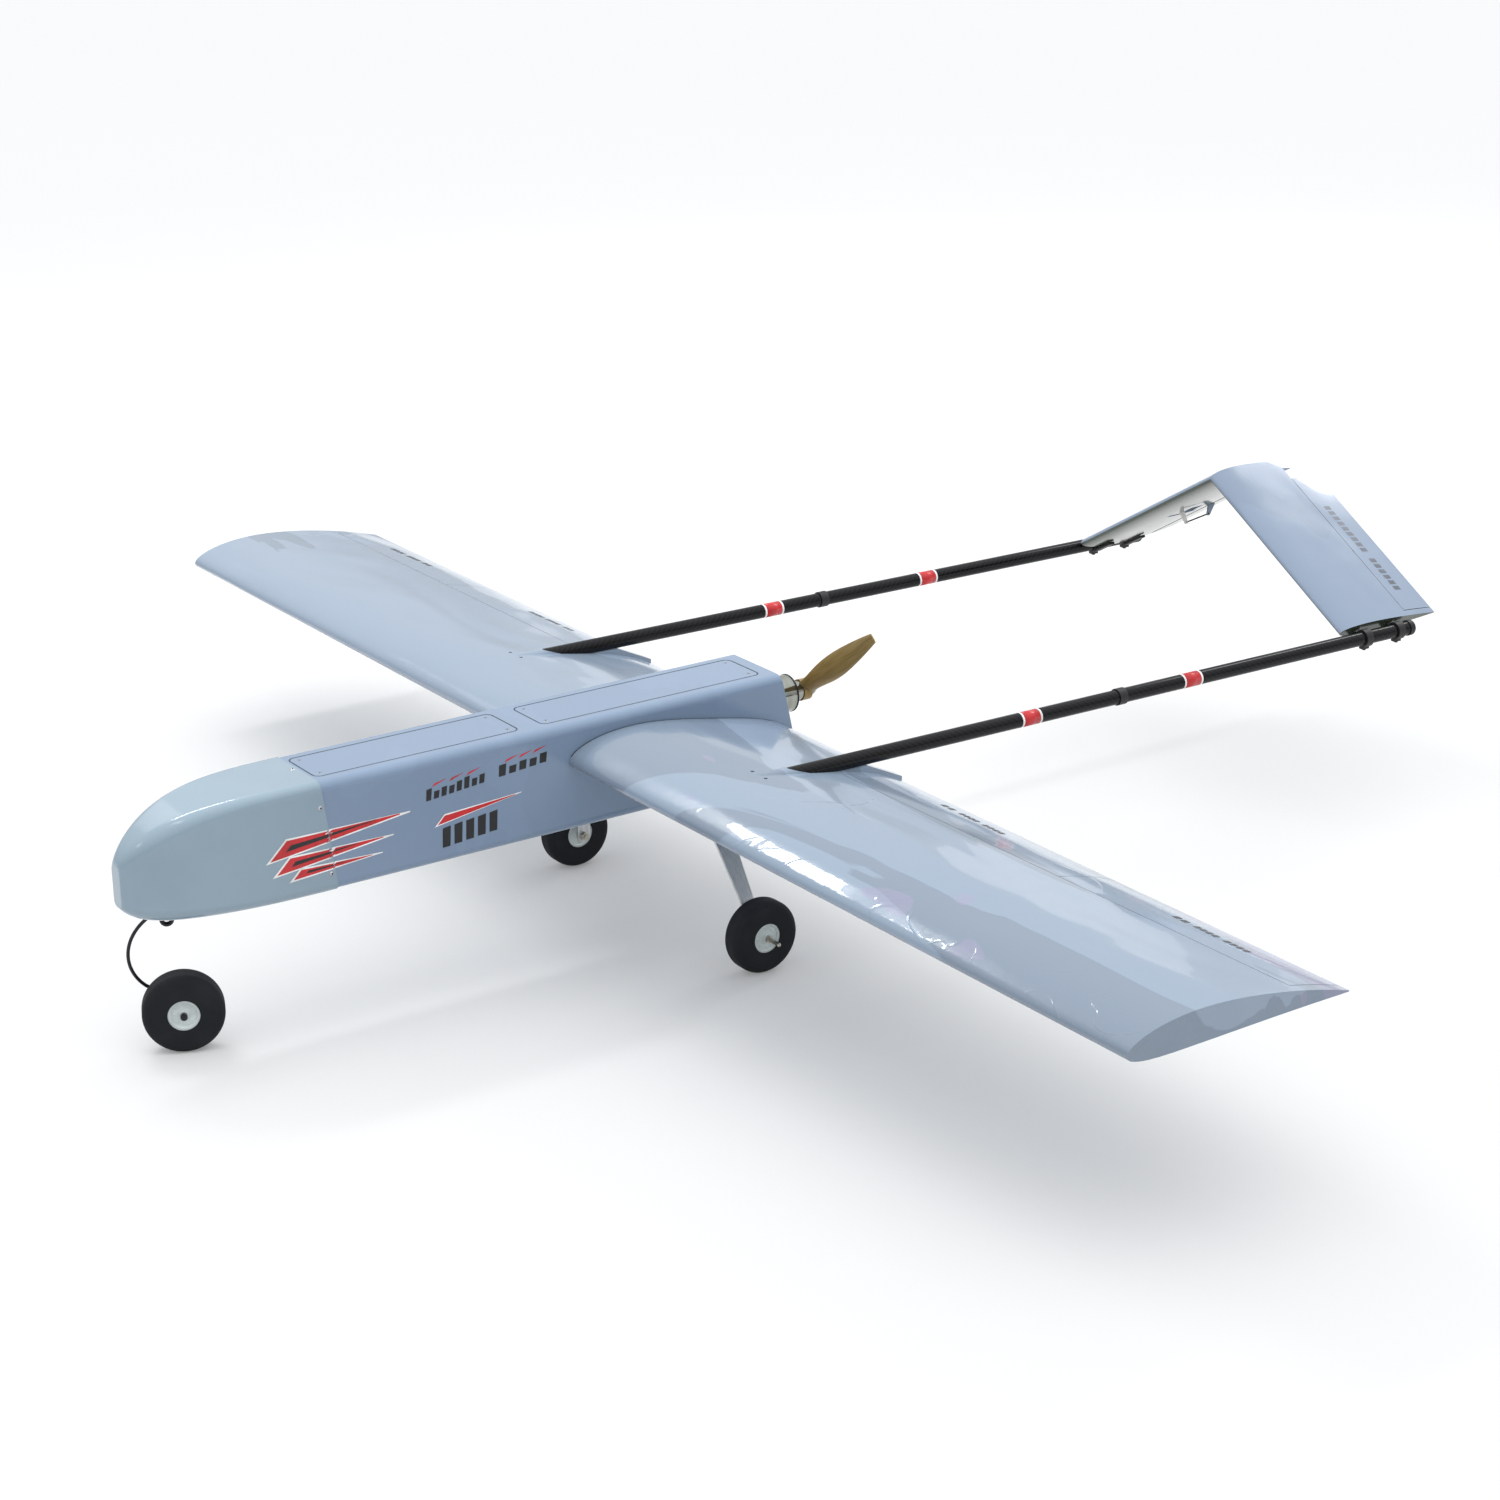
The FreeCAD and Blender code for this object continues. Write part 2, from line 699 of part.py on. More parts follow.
def tail_hinge():
    top = tail_skin(mm["tail_hinge"]) - 0.3
    return [Vector(x, mm["tail_hinge"], top) for x in (mm["ruddervator_start"], mm["ruddervator_end"])]


def tail_linkage():
    axis = tail_hinge()
    depth = 2 * tail_skin(mm["tail_hinge"])
    drop = axis[0].z
    frame = hinge_frame(axis, mm["tail_servo_station"])
    return axis, frame, Linkage(depth, mm["tail_horn_clear"], mm["tail_link"], drop, mm["ruddervator_bevel"])


def tail_parts():
    """Port tail panel, ruddervator and linkage, in the wing frame."""
    blank = loft([tail_section(-14), tail_section(mm["tail_span"])], True)
    axis, frame, link = tail_linkage()
    bay = behind_hinge([Vector(-60, axis[0].y, axis[0].z), axis[1]], 0, mm["surface_gap"])
    mitre = box((-300, 0, -300), (0, 1500, 500))
    pocket = moved(link.pocket_shape(), frame)
    panel = moved(blank.cut([bay, pocket]), TAIL_LOCAL).cut(mitre)
    surface = blank.common(behind_hinge(axis, mm["ruddervator_bevel"], 0))
    local = {
        "ruddervator": surface.fuse(moved(link.horn_shape(), frame)),
        "tail_servo_arm": moved(link.arm_shape(), frame),
        "tail_push_rod": moved(link.rod_shape(), frame),
        "tail_servo": moved(link.servo_shape(), frame),
    }
    parts = {name: moved(shape, TAIL_LOCAL) for name, shape in local.items()}
    parts["tail_panel"] = panel
    return parts


CLAMP_SCREW = 1.5
CLAMP_FIT = 0.02                     # between strap and boom
CLAMP_LUG = 2.4                      # the screw lug below the strap


def clamp_shape(y):
    """A strap round the boom with a tab under the tail panel's foot and a screw lug below."""
    centre = boom_at(y)
    half = (boom_at(1) - boom_at(0)) * (mm["clamp_width"] / 2)
    inner = mm["boom_radius"] + CLAMP_FIT
    outer = inner + mm["clamp_wall"]
    ring = rod(outer, centre - half, centre + half)
    lug = box((centre.x - 3.5, y - mm["clamp_width"] / 2, centre.z - outer - CLAMP_LUG),
              (centre.x + 3.5, y + mm["clamp_width"] / 2, centre.z))
    depth = tail_skin(y - mm["tail_nose"])
    tab = box((272, y - mm["tail_nose"] - mm["clamp_width"] / 2, -depth - 4),
              (306, y - mm["tail_nose"] + mm["clamp_width"] / 2, -depth - 0.6))
    strap = ring.fuse([lug, moved(tab, TAIL_LOCAL)])
    bore = rod(inner, centre - half * 3, centre + half * 3)
    hole = rod(CLAMP_SCREW, centre, centre - Z_AXIS * 40)
    return strap.cut([bore, hole])


def clamp_screw(y):
    centre = boom_at(y)
    low = centre.z - mm["boom_radius"] - CLAMP_FIT - mm["clamp_wall"] - CLAMP_LUG
    x = centre.x
    shank = rod(CLAMP_SCREW, Vector(x, y, low - 1), Vector(x, y, centre.z - mm["boom_radius"] - 0.5))
    head = rod(2.4, Vector(x, y, low - 1.8), Vector(x, y, low))
    return shank.fuse(head)


def wing_group():
    """Everything that the wing carries, both sides."""
    port = wing_parts()
    port.update(tail_parts())
    servos = [port.pop(name) for name in ("flap_servo", "aileron_servo", "tail_servo")]
    for name, shape in port.items():
        for word, side in SIDES.items():
            shape_node("%s_%s" % (word, name), sided(shape, side), WING)
    return servos


# ---------------------------------------------------------------- booms

def boom_frame(side, y):
    """Frame on a boom's axis: Z runs aft along the tube."""
    base = boom_at(y)
    turn = Rotation(X_AXIS, mm["boom_tilt"]).multiply(TURN_TO_Y)
    return FRAME.multiply(WING).multiply(Placement(Vector(base.x * side, base.y, base.z), turn))


def boom_body(name, side, start, length, outer, inner):
    """One round tube along a boom's axis."""
    body = doc.addObject("PartDesign::Body", name)
    body.Placement = boom_frame(side, plain(start))
    sketch = new_sketch(body, name + "_ring")
    circle(sketch, outer)
    circle(sketch, inner)
    pad(body, sketch, length)
    return body


def group_node(label, members):
    """Identical pieces that share one node."""
    group = doc.addObject("Part::Compound", label)
    group.Label = label
    group.Links = members
    nodes.append(group)


def booms():
    length = size["boom_end"] - size["boom_start"]
    hollow = size["boom_radius"] - size["boom_wall"]
    group_node("boom_tubes", [boom_body(word + "_boom", side, size["boom_start"], length,
                                        size["boom_radius"], hollow) for word, side in SIDES.items()])
    outer = size["boom_radius"] + size["sleeve_wall"]
    sleeves = []
    for word, side in SIDES.items():
        start = mm[word + "_sleeve"] - mm["sleeve_length"] / 2
        sleeves.append(boom_body(word + "_sleeve_ring", side, start, size["sleeve_length"], outer,
                                 size["boom_radius"] + 0.02))
    group_node("boom_sleeves", sleeves)
    caps = []
    for word, side in SIDES.items():
        body = doc.addObject("PartDesign::Body", word + "_cap")
        body.Placement = boom_frame(side, mm["boom_end"])
        sketch = new_sketch(body, word + "_cap_profile", "XZ_Plane")
        plug = hollow - 0.05
        rim = size["boom_radius"] + 1.2
        outline(sketch, [(0, -10), (plug, -10), (plug, 0), (rim, 0), (rim, 9), (0, 12)])
        revolve(body, sketch)
        round_edges(body, 4.5, lambda edge: abs(edge.BoundBox.ZMin - 9) < 0.01)
        caps.append(body)
    group_node("boom_end_caps", caps)


# ---------------------------------------------------------------- fuselage

def prism_x(points, half_width=200):
    """A prism along X with a flat outline in the YZ plane."""
    return face_of([Vector(-half_width, y, z) for y, z in points]).extrude(X_AXIS * (2 * half_width))


def body_tube(inset, start, end):
    """A solid with the fuselage's section, drawn in by the inset."""
    wire = rounded_section(mm["body_width"] / 2 - inset, mm["body_bottom"] + inset,
                           mm["body_bottom"] + mm["body_height"] - inset,
                           max(mm["body_corner"] - inset, 2), start)
    return Part.Face(wire).extrude(Y_AXIS * (end - start))


def joint_y(z):
    """The raked joint between nose cone and fuselage."""
    top = mm["body_bottom"] + mm["body_height"]
    return mm["joint_top"] + (mm["joint_bottom"] - mm["joint_top"]) * (top - z) / mm["body_height"]


def raked(start_top, start_bottom, end):
    """Prism between a raked plane, given at the fuselage's top and bottom, and an upright plane."""
    low = mm["body_bottom"]
    high = low + mm["body_height"]
    lean = (start_bottom - start_top) / mm["body_height"]
    margin = 30
    return prism_x([(start_top - lean * margin, high + margin), (start_bottom + lean * margin, low - margin),
                    (end, low - margin), (end, high + margin)])


def rounded_plate(half_width, start, end, corner, low, high):
    """A flat plate with round corners, from start to end along Y."""
    plate = box((-half_width, start, low), (half_width, end, high))
    upright = [edge for edge in plate.Edges if is_upright(edge)]
    return plate.makeFillet(corner, upright)


HATCHES = {
    "front_hatch": (mm["front_hatch_start"], mm["front_hatch_end"]),
    "rear_hatch": (mm["rear_hatch_start"], mm["rear_hatch_end"]),
}
HATCH_FRAME = 3                      # depth of the ledge frame under each hatch
HATCH_FRAME_ROUND = 5                # and how far it reaches outside the hatch
HATCH_SCREW_INSET = 9.5
HATCH_SCREW = 1.25
SEAT_RADIUS = 2.45                   # the sunk seat of each hatch screw's head
SEAT_DEPTH = 1.4


def hatch_screw_spots(name):
    start, end = HATCHES[name]
    return [(side * mm["hatch_screw_x"], y) for side in (PORT, STARBOARD)
            for y in (start + HATCH_SCREW_INSET, end - HATCH_SCREW_INSET)]


def body_top():
    return mm["body_bottom"] + mm["body_height"]


def cut_hatchways(shell):
    """Open the top for both hatches and leave a ledge and screw tabs under each."""
    top = body_top()
    under = top - mm["hatch_plate"]
    for name, (start, end) in HATCHES.items():
        gap = mm["hatch_gap"]
        ledge = mm["hatch_ledge"]
        shell = shell.cut(rounded_plate(mm["hatch_half"] + gap, start - gap, end + gap,
                                        mm["hatch_corner"], under, top + 5))
        frame = rounded_plate(mm["hatch_half"] + HATCH_FRAME_ROUND, start - HATCH_FRAME_ROUND,
                              end + HATCH_FRAME_ROUND, mm["hatch_corner"], under - HATCH_FRAME, under)
        frame = frame.cut(rounded_plate(mm["hatch_half"] - ledge, start + ledge, end - ledge,
                                        mm["hatch_corner"] - 3, under - 4, under + 1))
        spots = hatch_screw_spots(name)
        tabs = [rod(6.5, Vector(x, y, under - HATCH_FRAME), Vector(x, y, under)) for x, y in spots]
        holes = [rod(HATCH_SCREW, Vector(x, y, under - 9), Vector(x, y, top)) for x, y in spots]
        way_in = rounded_plate(mm["hatch_half"] - ledge, start + ledge, end - ledge,
                               mm["hatch_corner"] - 3, under - 9, under)
        shell = shell.cut(way_in.cut(tabs)).fuse([frame] + tabs).cut(holes)
    return shell


def joiner_spots():
    """Centre, radius and reach of the two wing joiners, in the wing frame."""
    return [(Vector(0, -mm["joiner_ahead"], mm["joiner_rise"]), mm["joiner_radius"], mm["joiner_reach"]),
            (Vector(0, -mm["peg_ahead"], mm["peg_rise"]), mm["peg_radius"], mm["peg_reach"])]


def leg_bolt_spots():
    return [(side * x, mm["main_wheel_y"]) for side in (PORT, STARBOARD) for x in (16, 33)]


LEG_BOLT = 2
NOSE_SCREW = 1.25


def nose_screw_spots():
    """Seat and outward direction of each nose screw, just ahead of the raked joint."""
    half = mm["body_width"] / 2 + mm["nose_proud"]
    spots = [(Vector(0, joint_y(body_top()) - 5.5, body_top() + mm["nose_proud"]), Z_AXIS)]
    for z in (266, 186):
        for side in (PORT, STARBOARD):
            spots.append((Vector(side * half, joint_y(z) - 5.5, z), X_AXIS * side))
    return spots


JOINT_GAP = 0.2                      # between the nose cone and the fuselage that it slips over
NOSE_REACH = 1                       # the cone's blank ends this far behind the joint
NOSE_STATIONS = 14
NOSE_BLUNT = {"half_width": 9.7, "top": 231.7, "bottom": 183.3}
NOSE_GROWTH = {"half_width": (3.09, 1.32), "top": (4.18, 1.36), "bottom": (11.6, 1.2)}
NOSE_ROUND = (0.704, 0.2, 2.9)       # corner radius over half width: at the tip, at the joint, and its fall


def fuselage_shell():
    solid = body_tube(0, mm["body_front"] - 10, 60).common(
        raked(mm["joint_top"] + JOINT_GAP, mm["joint_bottom"] + JOINT_GAP, 80))
    inset = mm["nose_wall"] - mm["nose_proud"] + JOINT_GAP
    spigot = body_tube(inset, mm["body_front"] - 8, mm["joint_bottom"] + 2)
    ahead = nose_solid(mm["nose_wall"] + JOINT_GAP).common(raked(mm["body_front"] - 8, mm["body_front"] - 8,
                                                                 mm["joint_bottom"] + NOSE_REACH))
    shell = solid.fuse(spigot.common(ahead))
    shell = shell.cut(body_tube(mm["body_wall"], mm["body_front"] - 30, 90))
    shell = shell.cut(raked(mm["tail_top"], mm["tail_bottom"], 200))
    shell = cut_hatchways(shell)
    holes = []
    for centre, radius, _ in joiner_spots():
        hole = rod(radius + 0.1, centre - X_AXIS * 90, centre + X_AXIS * 90)
        holes.append(moved(hole, WING))
    for x, y in leg_bolt_spots():
        holes.append(rod(LEG_BOLT, Vector(x, y, mm["body_bottom"] - 5), Vector(x, y, mm["body_bottom"] + 10)))
    for seat, outward in nose_screw_spots():
        holes.append(rod(NOSE_SCREW, seat - outward * 9, seat + outward * 2))
    shape_node("fuselage_shell", shell.cut(holes).removeSplitter())


def nose_section(progress, inset):
    """The nose cone's section at a progress from 0 at the tip to 1 at the joint."""
    full = {"half_width": mm["body_width"] / 2 + mm["nose_proud"],
            "top": body_top() + mm["nose_proud"],
            "bottom": mm["body_bottom"] - mm["nose_proud"]}
    here = {}
    for key, (power, root) in NOSE_GROWTH.items():
        grown = (1 - (1 - progress) ** power) ** (1 / root)
        here[key] = NOSE_BLUNT[key] + (full[key] - NOSE_BLUNT[key]) * grown
    tip_round, joint_round, fall = NOSE_ROUND
    share = joint_round + (tip_round - joint_round) * (1 - progress) ** fall
    corner = share * min(here["half_width"], (here["top"] - here["bottom"]) / 2)
    y = mm["nose_tip"] + inset + progress * (mm["joint_bottom"] + NOSE_REACH - mm["nose_tip"] - inset)
    return rounded_section(here["half_width"] - inset, here["bottom"] + inset, here["top"] - inset,
                           max(corner - inset, 1), y)


def nose_solid(inset):
    wires = [nose_section((step / NOSE_STATIONS) ** 2, inset) for step in range(NOSE_STATIONS + 1)]
    return loft(wires)


def nose_cone():
    hollow = nose_solid(mm["nose_wall"])
    cone = nose_solid(0).cut(hollow)
    cone = cone.cut(raked(mm["joint_top"], mm["joint_bottom"], 0))
    slot = rod(25, Vector(0, mm["steer_y"], 150), Vector(0, mm["steer_y"], 176))
    holes = [rod(NOSE_SCREW, seat - outward * 9, seat + outward * 3) for seat, outward in nose_screw_spots()]
    shape_node("nose_cone", cone.cut([slot] + holes))


def hatch(name):
    """A flush plate with round corners and a sunk clearance hole for each screw."""
    start = size[name + "_start"]
    end = size[name + "_end"]
    middle = (start.value + end.value) / 2
    base = Vector(0, middle, body_top() - mm["hatch_plate"])
    body = body_node(name, Placement(base, Rotation()))
    sketch = new_sketch(body, name + "_outline")
    rectangle(sketch, size["hatch_half"] * 2, end - start)
    pad(body, sketch, size["hatch_plate"])
    body.Tip = round_edges(body, size["hatch_corner"] - size["hatch_gap"], is_upright)
    holes = new_sketch(body, name + "_holes")
    along = (end - start) / 2 - HATCH_SCREW_INSET
    for side in (PORT, STARBOARD):
        for way in (1, -1):
            circle(holes, HATCH_SCREW + 0.2, size["hatch_screw_x"] * side, along * way)
    pocket_through(body, holes)
    seats = new_sketch(body, name + "_screw_seats", lift=mm["hatch_plate"])
    for side in (PORT, STARBOARD):
        for way in (1, -1):
            circle(seats, SEAT_RADIUS, size["hatch_screw_x"] * side, along * way)
    sunk = body.newObject("PartDesign::Pocket", name + "_screw_seat")
    sunk.Profile = seats
    sunk.Length = SEAT_DEPTH
    doc.recompute()
    body.Tip = sunk


def flush_screw(shank, x, y):
    """A flat head screw that lies just below the hatch's face."""
    face = body_top() - 0.1
    seat = body_top() - SEAT_DEPTH
    stem = rod(shank, Vector(x, y, seat - 5.5), Vector(x, y, seat + 0.5))
    return stem.fuse(rod(SEAT_RADIUS - 0.15, Vector(x, y, seat), Vector(x, y, face)))


def dome_screw(shank, head, length, seat, outward):
    """A dome head screw: its head stands on the seat and its shank goes in."""
    stem = rod(shank, seat - outward * length, seat + outward * 0.5)
    ball = Part.makeSphere(head, seat - outward * (head * 0.55))
    dome = ball.common(rod(head * 2, seat, seat + outward * head * 2))
    return stem.fuse(dome)


def cover_screws():
    loose = [flush_screw(HATCH_SCREW, x, y) for x, y in hatch_screw_spots("rear_hatch")]
    loose += [dome_screw(NOSE_SCREW, 2.9, 6, seat, outward) for seat, outward in nose_screw_spots()]
    shape_node("cover_screws", Part.makeCompound(loose))
    front = [flush_screw(HATCH_SCREW - 0.1, x, y) for x, y in hatch_screw_spots("front_hatch")]
    shape_node("front_hatch_screws", Part.makeCompound(front))


def former(y, thickness, inner_half, low, high):
    """A plywood frame that fills the fuselage's section round one opening."""
    outer = body_tube(mm["body_wall"], y, y + thickness)
    hole = Part.Face(rounded_section(inner_half, low, high, 8, y - 1)).extrude(Y_AXIS * (thickness + 2))
    return outer.cut(hole)


FORMER_PLATE = 4
WING_FORMERS = (-230, -64)           # front faces of the two formers at the wing joiners


def formers():
    """Three plywood frames; the two at the wing stop below the rear hatch's ledge."""
    front = former(mm["body_front"] - 6, FORMER_PLATE, 40, 183, 284)
    ledge = body_top() - mm["hatch_plate"] - HATCH_FRAME
    half = mm["hatch_half"] + HATCH_FRAME_ROUND
    below = box((-half, WING_FORMERS[0] - 1, ledge), (half, WING_FORMERS[-1] + FORMER_PLATE + 1, body_top()))
    frames = [front] + [former(y, FORMER_PLATE, 42, 176, 284).cut(below) for y in WING_FORMERS]
    shape_node("fuselage_formers", Part.makeCompound(frames))


def firewall():
    """Plywood bulkhead that carries the motor, with its bolt circle and a wire opening."""
    centre = mm["body_bottom"] + mm["body_height"] / 2
    body = body_node("firewall", Placement(Vector(0, mm["firewall_front"], centre), TURN_TO_Y))
    sketch = new_sketch(body, "firewall_outline")
    rectangle(sketch, size["body_width"] - size["body_wall"] * 2, size["body_height"] - size["body_wall"] * 2)
    pad(body, sketch, size["firewall_plate"])
    body.Tip = round_edges(body, size["body_corner"] - size["body_wall"], is_upright)
    holes = new_sketch(body, "firewall_holes")
    drop = size["body_bottom"] + size["body_height"] / 2 - size["motor_height"]
    for x, y in motor_screw_circle():
        circle(holes, MOTOR_SCREW, x, drop + y)
    circle(holes, 9, 0, drop + 42)
    pocket_through(body, holes)


MOTOR_SCREW = 1.5
MOTOR_SCREW_CIRCLE = 15


def motor_screw_circle():
    angles = [math.radians(45 + 90 * turn) for turn in range(4)]
    return [(MOTOR_SCREW_CIRCLE * math.cos(a), MOTOR_SCREW_CIRCLE * math.sin(a)) for a in angles]


def equipment_tray():
    """One plate from the nose to the wing's front former, narrow through the front former."""
    start = -818
    body = body_node("equipment_tray", Placement(Vector(0, 0, mm["tray_height"]), Rotation()))
    sketch = new_sketch(body, "tray_outline")
    half = size["body_width"] / 2 - size["body_wall"]
    points = [(half * side, y) for side, y in ((1, -230), (-1, -230), (-1, -600))]
    points += [(-30, -600), (-30, -700), (-22, start), (22, start), (30, -700), (30, -600), (half, -600)]
    outline(sketch, points)
    pad(body, sketch, size["tray_plate"])
    holes = new_sketch(body, "tray_holes")
    circle(holes, 3, 0, size["steer_y"])
    for side in (PORT, STARBOARD):
        for y in (-520, -400, -290):
            circle(holes, 4, 38 * side, y)
    pocket_through(body, holes)


def boxed_equipment(label, width, length, height, middle, corner):
    """A rounded case that stands on the tray."""
    base = Vector(0, middle, mm["tray_height"] + mm["tray_plate"])
    body = body_node(label, Placement(base, Rotation()))
    sketch = new_sketch(body, label + "_outline")
    outline(sketch, [(-width / 2, -length / 2), (width / 2, -length / 2), (width / 2, length / 2),
                     (-width / 2, length / 2)])
    pad(body, sketch, height)
    body.Tip = round_edges(body, corner, is_upright)


def equipment():
    boxed_equipment("battery_pack", 44, 145, 42, -480, 5)
    boxed_equipment("autopilot_box", 40, 60, 18, -360, 4)
    boxed_equipment("speed_controller", 36, 66, 14, -280, 3)


# ---------------------------------------------------------------- motor and propeller

BORE = size["shaft_radius"] + size["running_gap"]
ADAPTER_COLLAR = 15                  # from the motor's rear face to the propeller


def motor():
    seat = size["firewall_front"] + size["firewall_plate"]
    frame = Placement(Vector(0, seat.value, mm["motor_height"]), TURN_TO_Y)
    rear = size["motor_face"] - seat
    turned_node("motor_stator", [(BORE, 0), (20, 0), (20, 5), (7, 7), (7, 16), (17.5, 16), (17.5, 38),
                                 (7, 38), (7, 46), (BORE, 46)], frame)
    can = size["motor_radius"]
    shaft = size["shaft_radius"]
    body = turned_node("motor_bell", [(0, 2), (shaft, 2), (shaft, rear - 6), (can - 3, rear - 6),
                                      (can - 3, 10), (can, 10), (can, rear), (0, rear)], frame)
    vents = new_sketch(body, "bell_vents", "XY_Plane")
    circle(vents, 3.2, 0, 13.5)
    pocket = body.newObject("PartDesign::Pocket", "bell_vent")
    pocket.Profile = vents
    pocket.Type = "ThroughAll"
    pocket.Reversed = True
    doc.recompute()
    ring = body.newObject("PartDesign::PolarPattern", "bell_vent_ring")
    ring.Originals = [pocket]
    ring.Axis = (vents, ["N_Axis"])
    ring.Angle = 360
    ring.Occurrences = 8
    body.Tip = ring
    seat = rear + ADAPTER_COLLAR
    turned_node("propeller_adapter", [(0, rear), (12, rear), (12, seat), (4, seat), (4, seat + 13),
                                      (8.5, seat + 13), (8.5, seat + 20), (6, seat + 24), (0, seat + 25)],
                frame)


BLADE = [(9, 21, 10), (28, 23, 8.5), (55, 28, 6.6), (85, 30, 5.4), (115, 27, 4.4), (145, 21, 3.4),
         (168, 15, 2.6), (178, 12, 2)]
BLADE_NOSE_UP = 42                   # steepest blade angle near the hub


def blade_wire(radius, chord, thickness):
    """One blade section, a thin smooth lens set at the pitch angle for its radius, fuller in front."""
    angle = min(math.degrees(math.atan(mm["propeller_pitch"] / (2 * math.pi * radius))), BLADE_NOSE_UP)
    turn = Rotation(X_AXIS, angle)
    points = []
    for step in range(12):
        around = 2 * math.pi * step / 12
        across = math.cos(around) * chord / 2
        deep = math.sin(around) * thickness / 2 * (0.75 if math.sin(around) > 0 else 1.25)
        points.append(turn.multVec(Vector(0, deep, across)) + X_AXIS * radius)
    curve = Part.BSplineCurve()
    curve.interpolate(points, PeriodicFlag=True)
    return Part.Wire([curve.toShape()])


def propeller():
    blade = loft([blade_wire(*row) for row in BLADE])
    opposite = moved(blade, Placement(Vector(), Rotation(Y_AXIS, 180)))
    hub = rod(13.5, Vector(0, -6, 0), Vector(0, 6, 0))
    flange = rod(12.4, Vector(0, -20, 0), Vector(0, -6, 0))
    nut = rod(9, Vector(0, 6, 0), Vector(0, 20, 0))
    wood = hub.fuse([blade, opposite]).cut([rod(4, Vector(0, -20, 0), Vector(0, 20, 0)), flange, nut])
    place = Placement(Vector(0, mm["propeller_plane"], mm["motor_height"]),
                      Rotation(Y_AXIS, -mm["propeller_rest"]))
    shape_node("propeller", wood, place)


# ---------------------------------------------------------------- undercarriage

LEG_HEIGHT = mm["body_bottom"] - mm["leg_thickness"] / 2     # middle of the strip under the fuselage
LEG_FLAT = 76                        # the strip lies flat out to here
LEG_SLOPE = 53
LEG_BENDS = (80, 45)                 # bend radii, at the top and above the axle
LEG_FOOT = 35
LEG_REACH = 220                      # past the foot, for the blanks that trim the strip


def leg_side(offset):
    """Edges of one face of the leg strip, at an offset from its middle, in the XZ plane."""
    slope = math.radians(LEG_SLOPE)
    foot_x = mm["main_wheel_x"] - 21.6
    upper, lower = LEG_BENDS
    start = Vector(4, 0, LEG_HEIGHT + offset)
    centre = Vector(LEG_FLAT, 0, LEG_HEIGHT - upper)

    def on_arc(middle, radius, angle):
        return middle + Vector(math.sin(angle), 0, math.cos(angle)) * (radius + offset)

    first = [on_arc(centre, upper, slope * part) for part in (0, 0.5, 1)]
    run_x = foot_x - lower
    bend_x = LEG_FLAT + upper * math.sin(slope)
    length = (run_x + lower * math.sin(slope) - bend_x) / math.cos(slope)
    bend_z = LEG_HEIGHT - upper * (1 - math.cos(slope)) - length * math.sin(slope)
    hub = Vector(run_x, 0, bend_z - lower * math.cos(slope))
    second = [on_arc(hub, lower, slope + (math.pi / 2 - slope) * part) for part in (0, 0.5, 1)]
    foot = Vector(foot_x + offset, 0, LEG_FOOT)
    return [Part.LineSegment(start, first[0]).toShape(), Part.Arc(*first).toShape(),
            Part.LineSegment(first[2], second[0]).toShape(), Part.Arc(*second).toShape(),
            Part.LineSegment(second[2], foot).toShape()]


def gear_leg():
    """Port leg: an aluminium strip that narrows towards the axle and ends round."""
    half = mm["leg_thickness"] / 2
    outer = leg_side(half)
    inner = leg_side(-half)
    ends = [Part.LineSegment(outer[0].Vertexes[0].Point, inner[0].Vertexes[0].Point).toShape(),
            Part.LineSegment(outer[-1].Vertexes[-1].Point, inner[-1].Vertexes[-1].Point).toShape()]
    face = Part.Face(Part.Wire(Part.__sortEdges__(outer + inner + ends)))
    wide = mm["leg_root_width"] / 2
    narrow = mm["leg_foot_width"] / 2
    strip = face.extrude(Y_AXIS * 80).translated(Vector(0, -40, 0))
    plan = face_of([Vector(x, y, 0) for x, y in [(0, -wide), (45, -wide), (178, -narrow),
                                                 (LEG_REACH, -narrow), (LEG_REACH, narrow), (178, narrow),
                                                 (45, wide), (0, wide)]])
    axle = Vector(0, 0, mm["wheel_radius"])
    end = rod(narrow, axle, axle + X_AXIS * LEG_REACH)
    above = Part.makeBox(LEG_REACH, 2 * wide, LEG_REACH, axle - Y_AXIS * wide)
    leg = strip.common(plan.extrude(Z_AXIS * LEG_REACH)).common(end.fuse(above))
    foot_x = mm["main_wheel_x"] - 21.6
    holes = [rod(mm["axle_radius"], Vector(foot_x - 20, 0, mm["wheel_radius"]),
                 Vector(foot_x + 20, 0, mm["wheel_radius"]))]
    holes += [rod(LEG_BOLT, Vector(x, 0, LEG_HEIGHT - 9), Vector(x, 0, LEG_HEIGHT + 9)) for x in (16, 33)]
    return leg.cut(holes).translated(Vector(0, mm["main_wheel_y"], 0))


def hexagon(across, start, end):
    """A hexagonal nut blank between two points."""
    way = end - start
    blank = Part.makePolygon([Vector(across / 2 * math.cos(math.radians(60 * k)),
                                     across / 2 * math.sin(math.radians(60 * k)), 0) for k in range(7)])
    solid = Part.Face(blank).extrude(Z_AXIS * way.Length)
    return moved(solid, Placement(start, Rotation(Z_AXIS, way)))


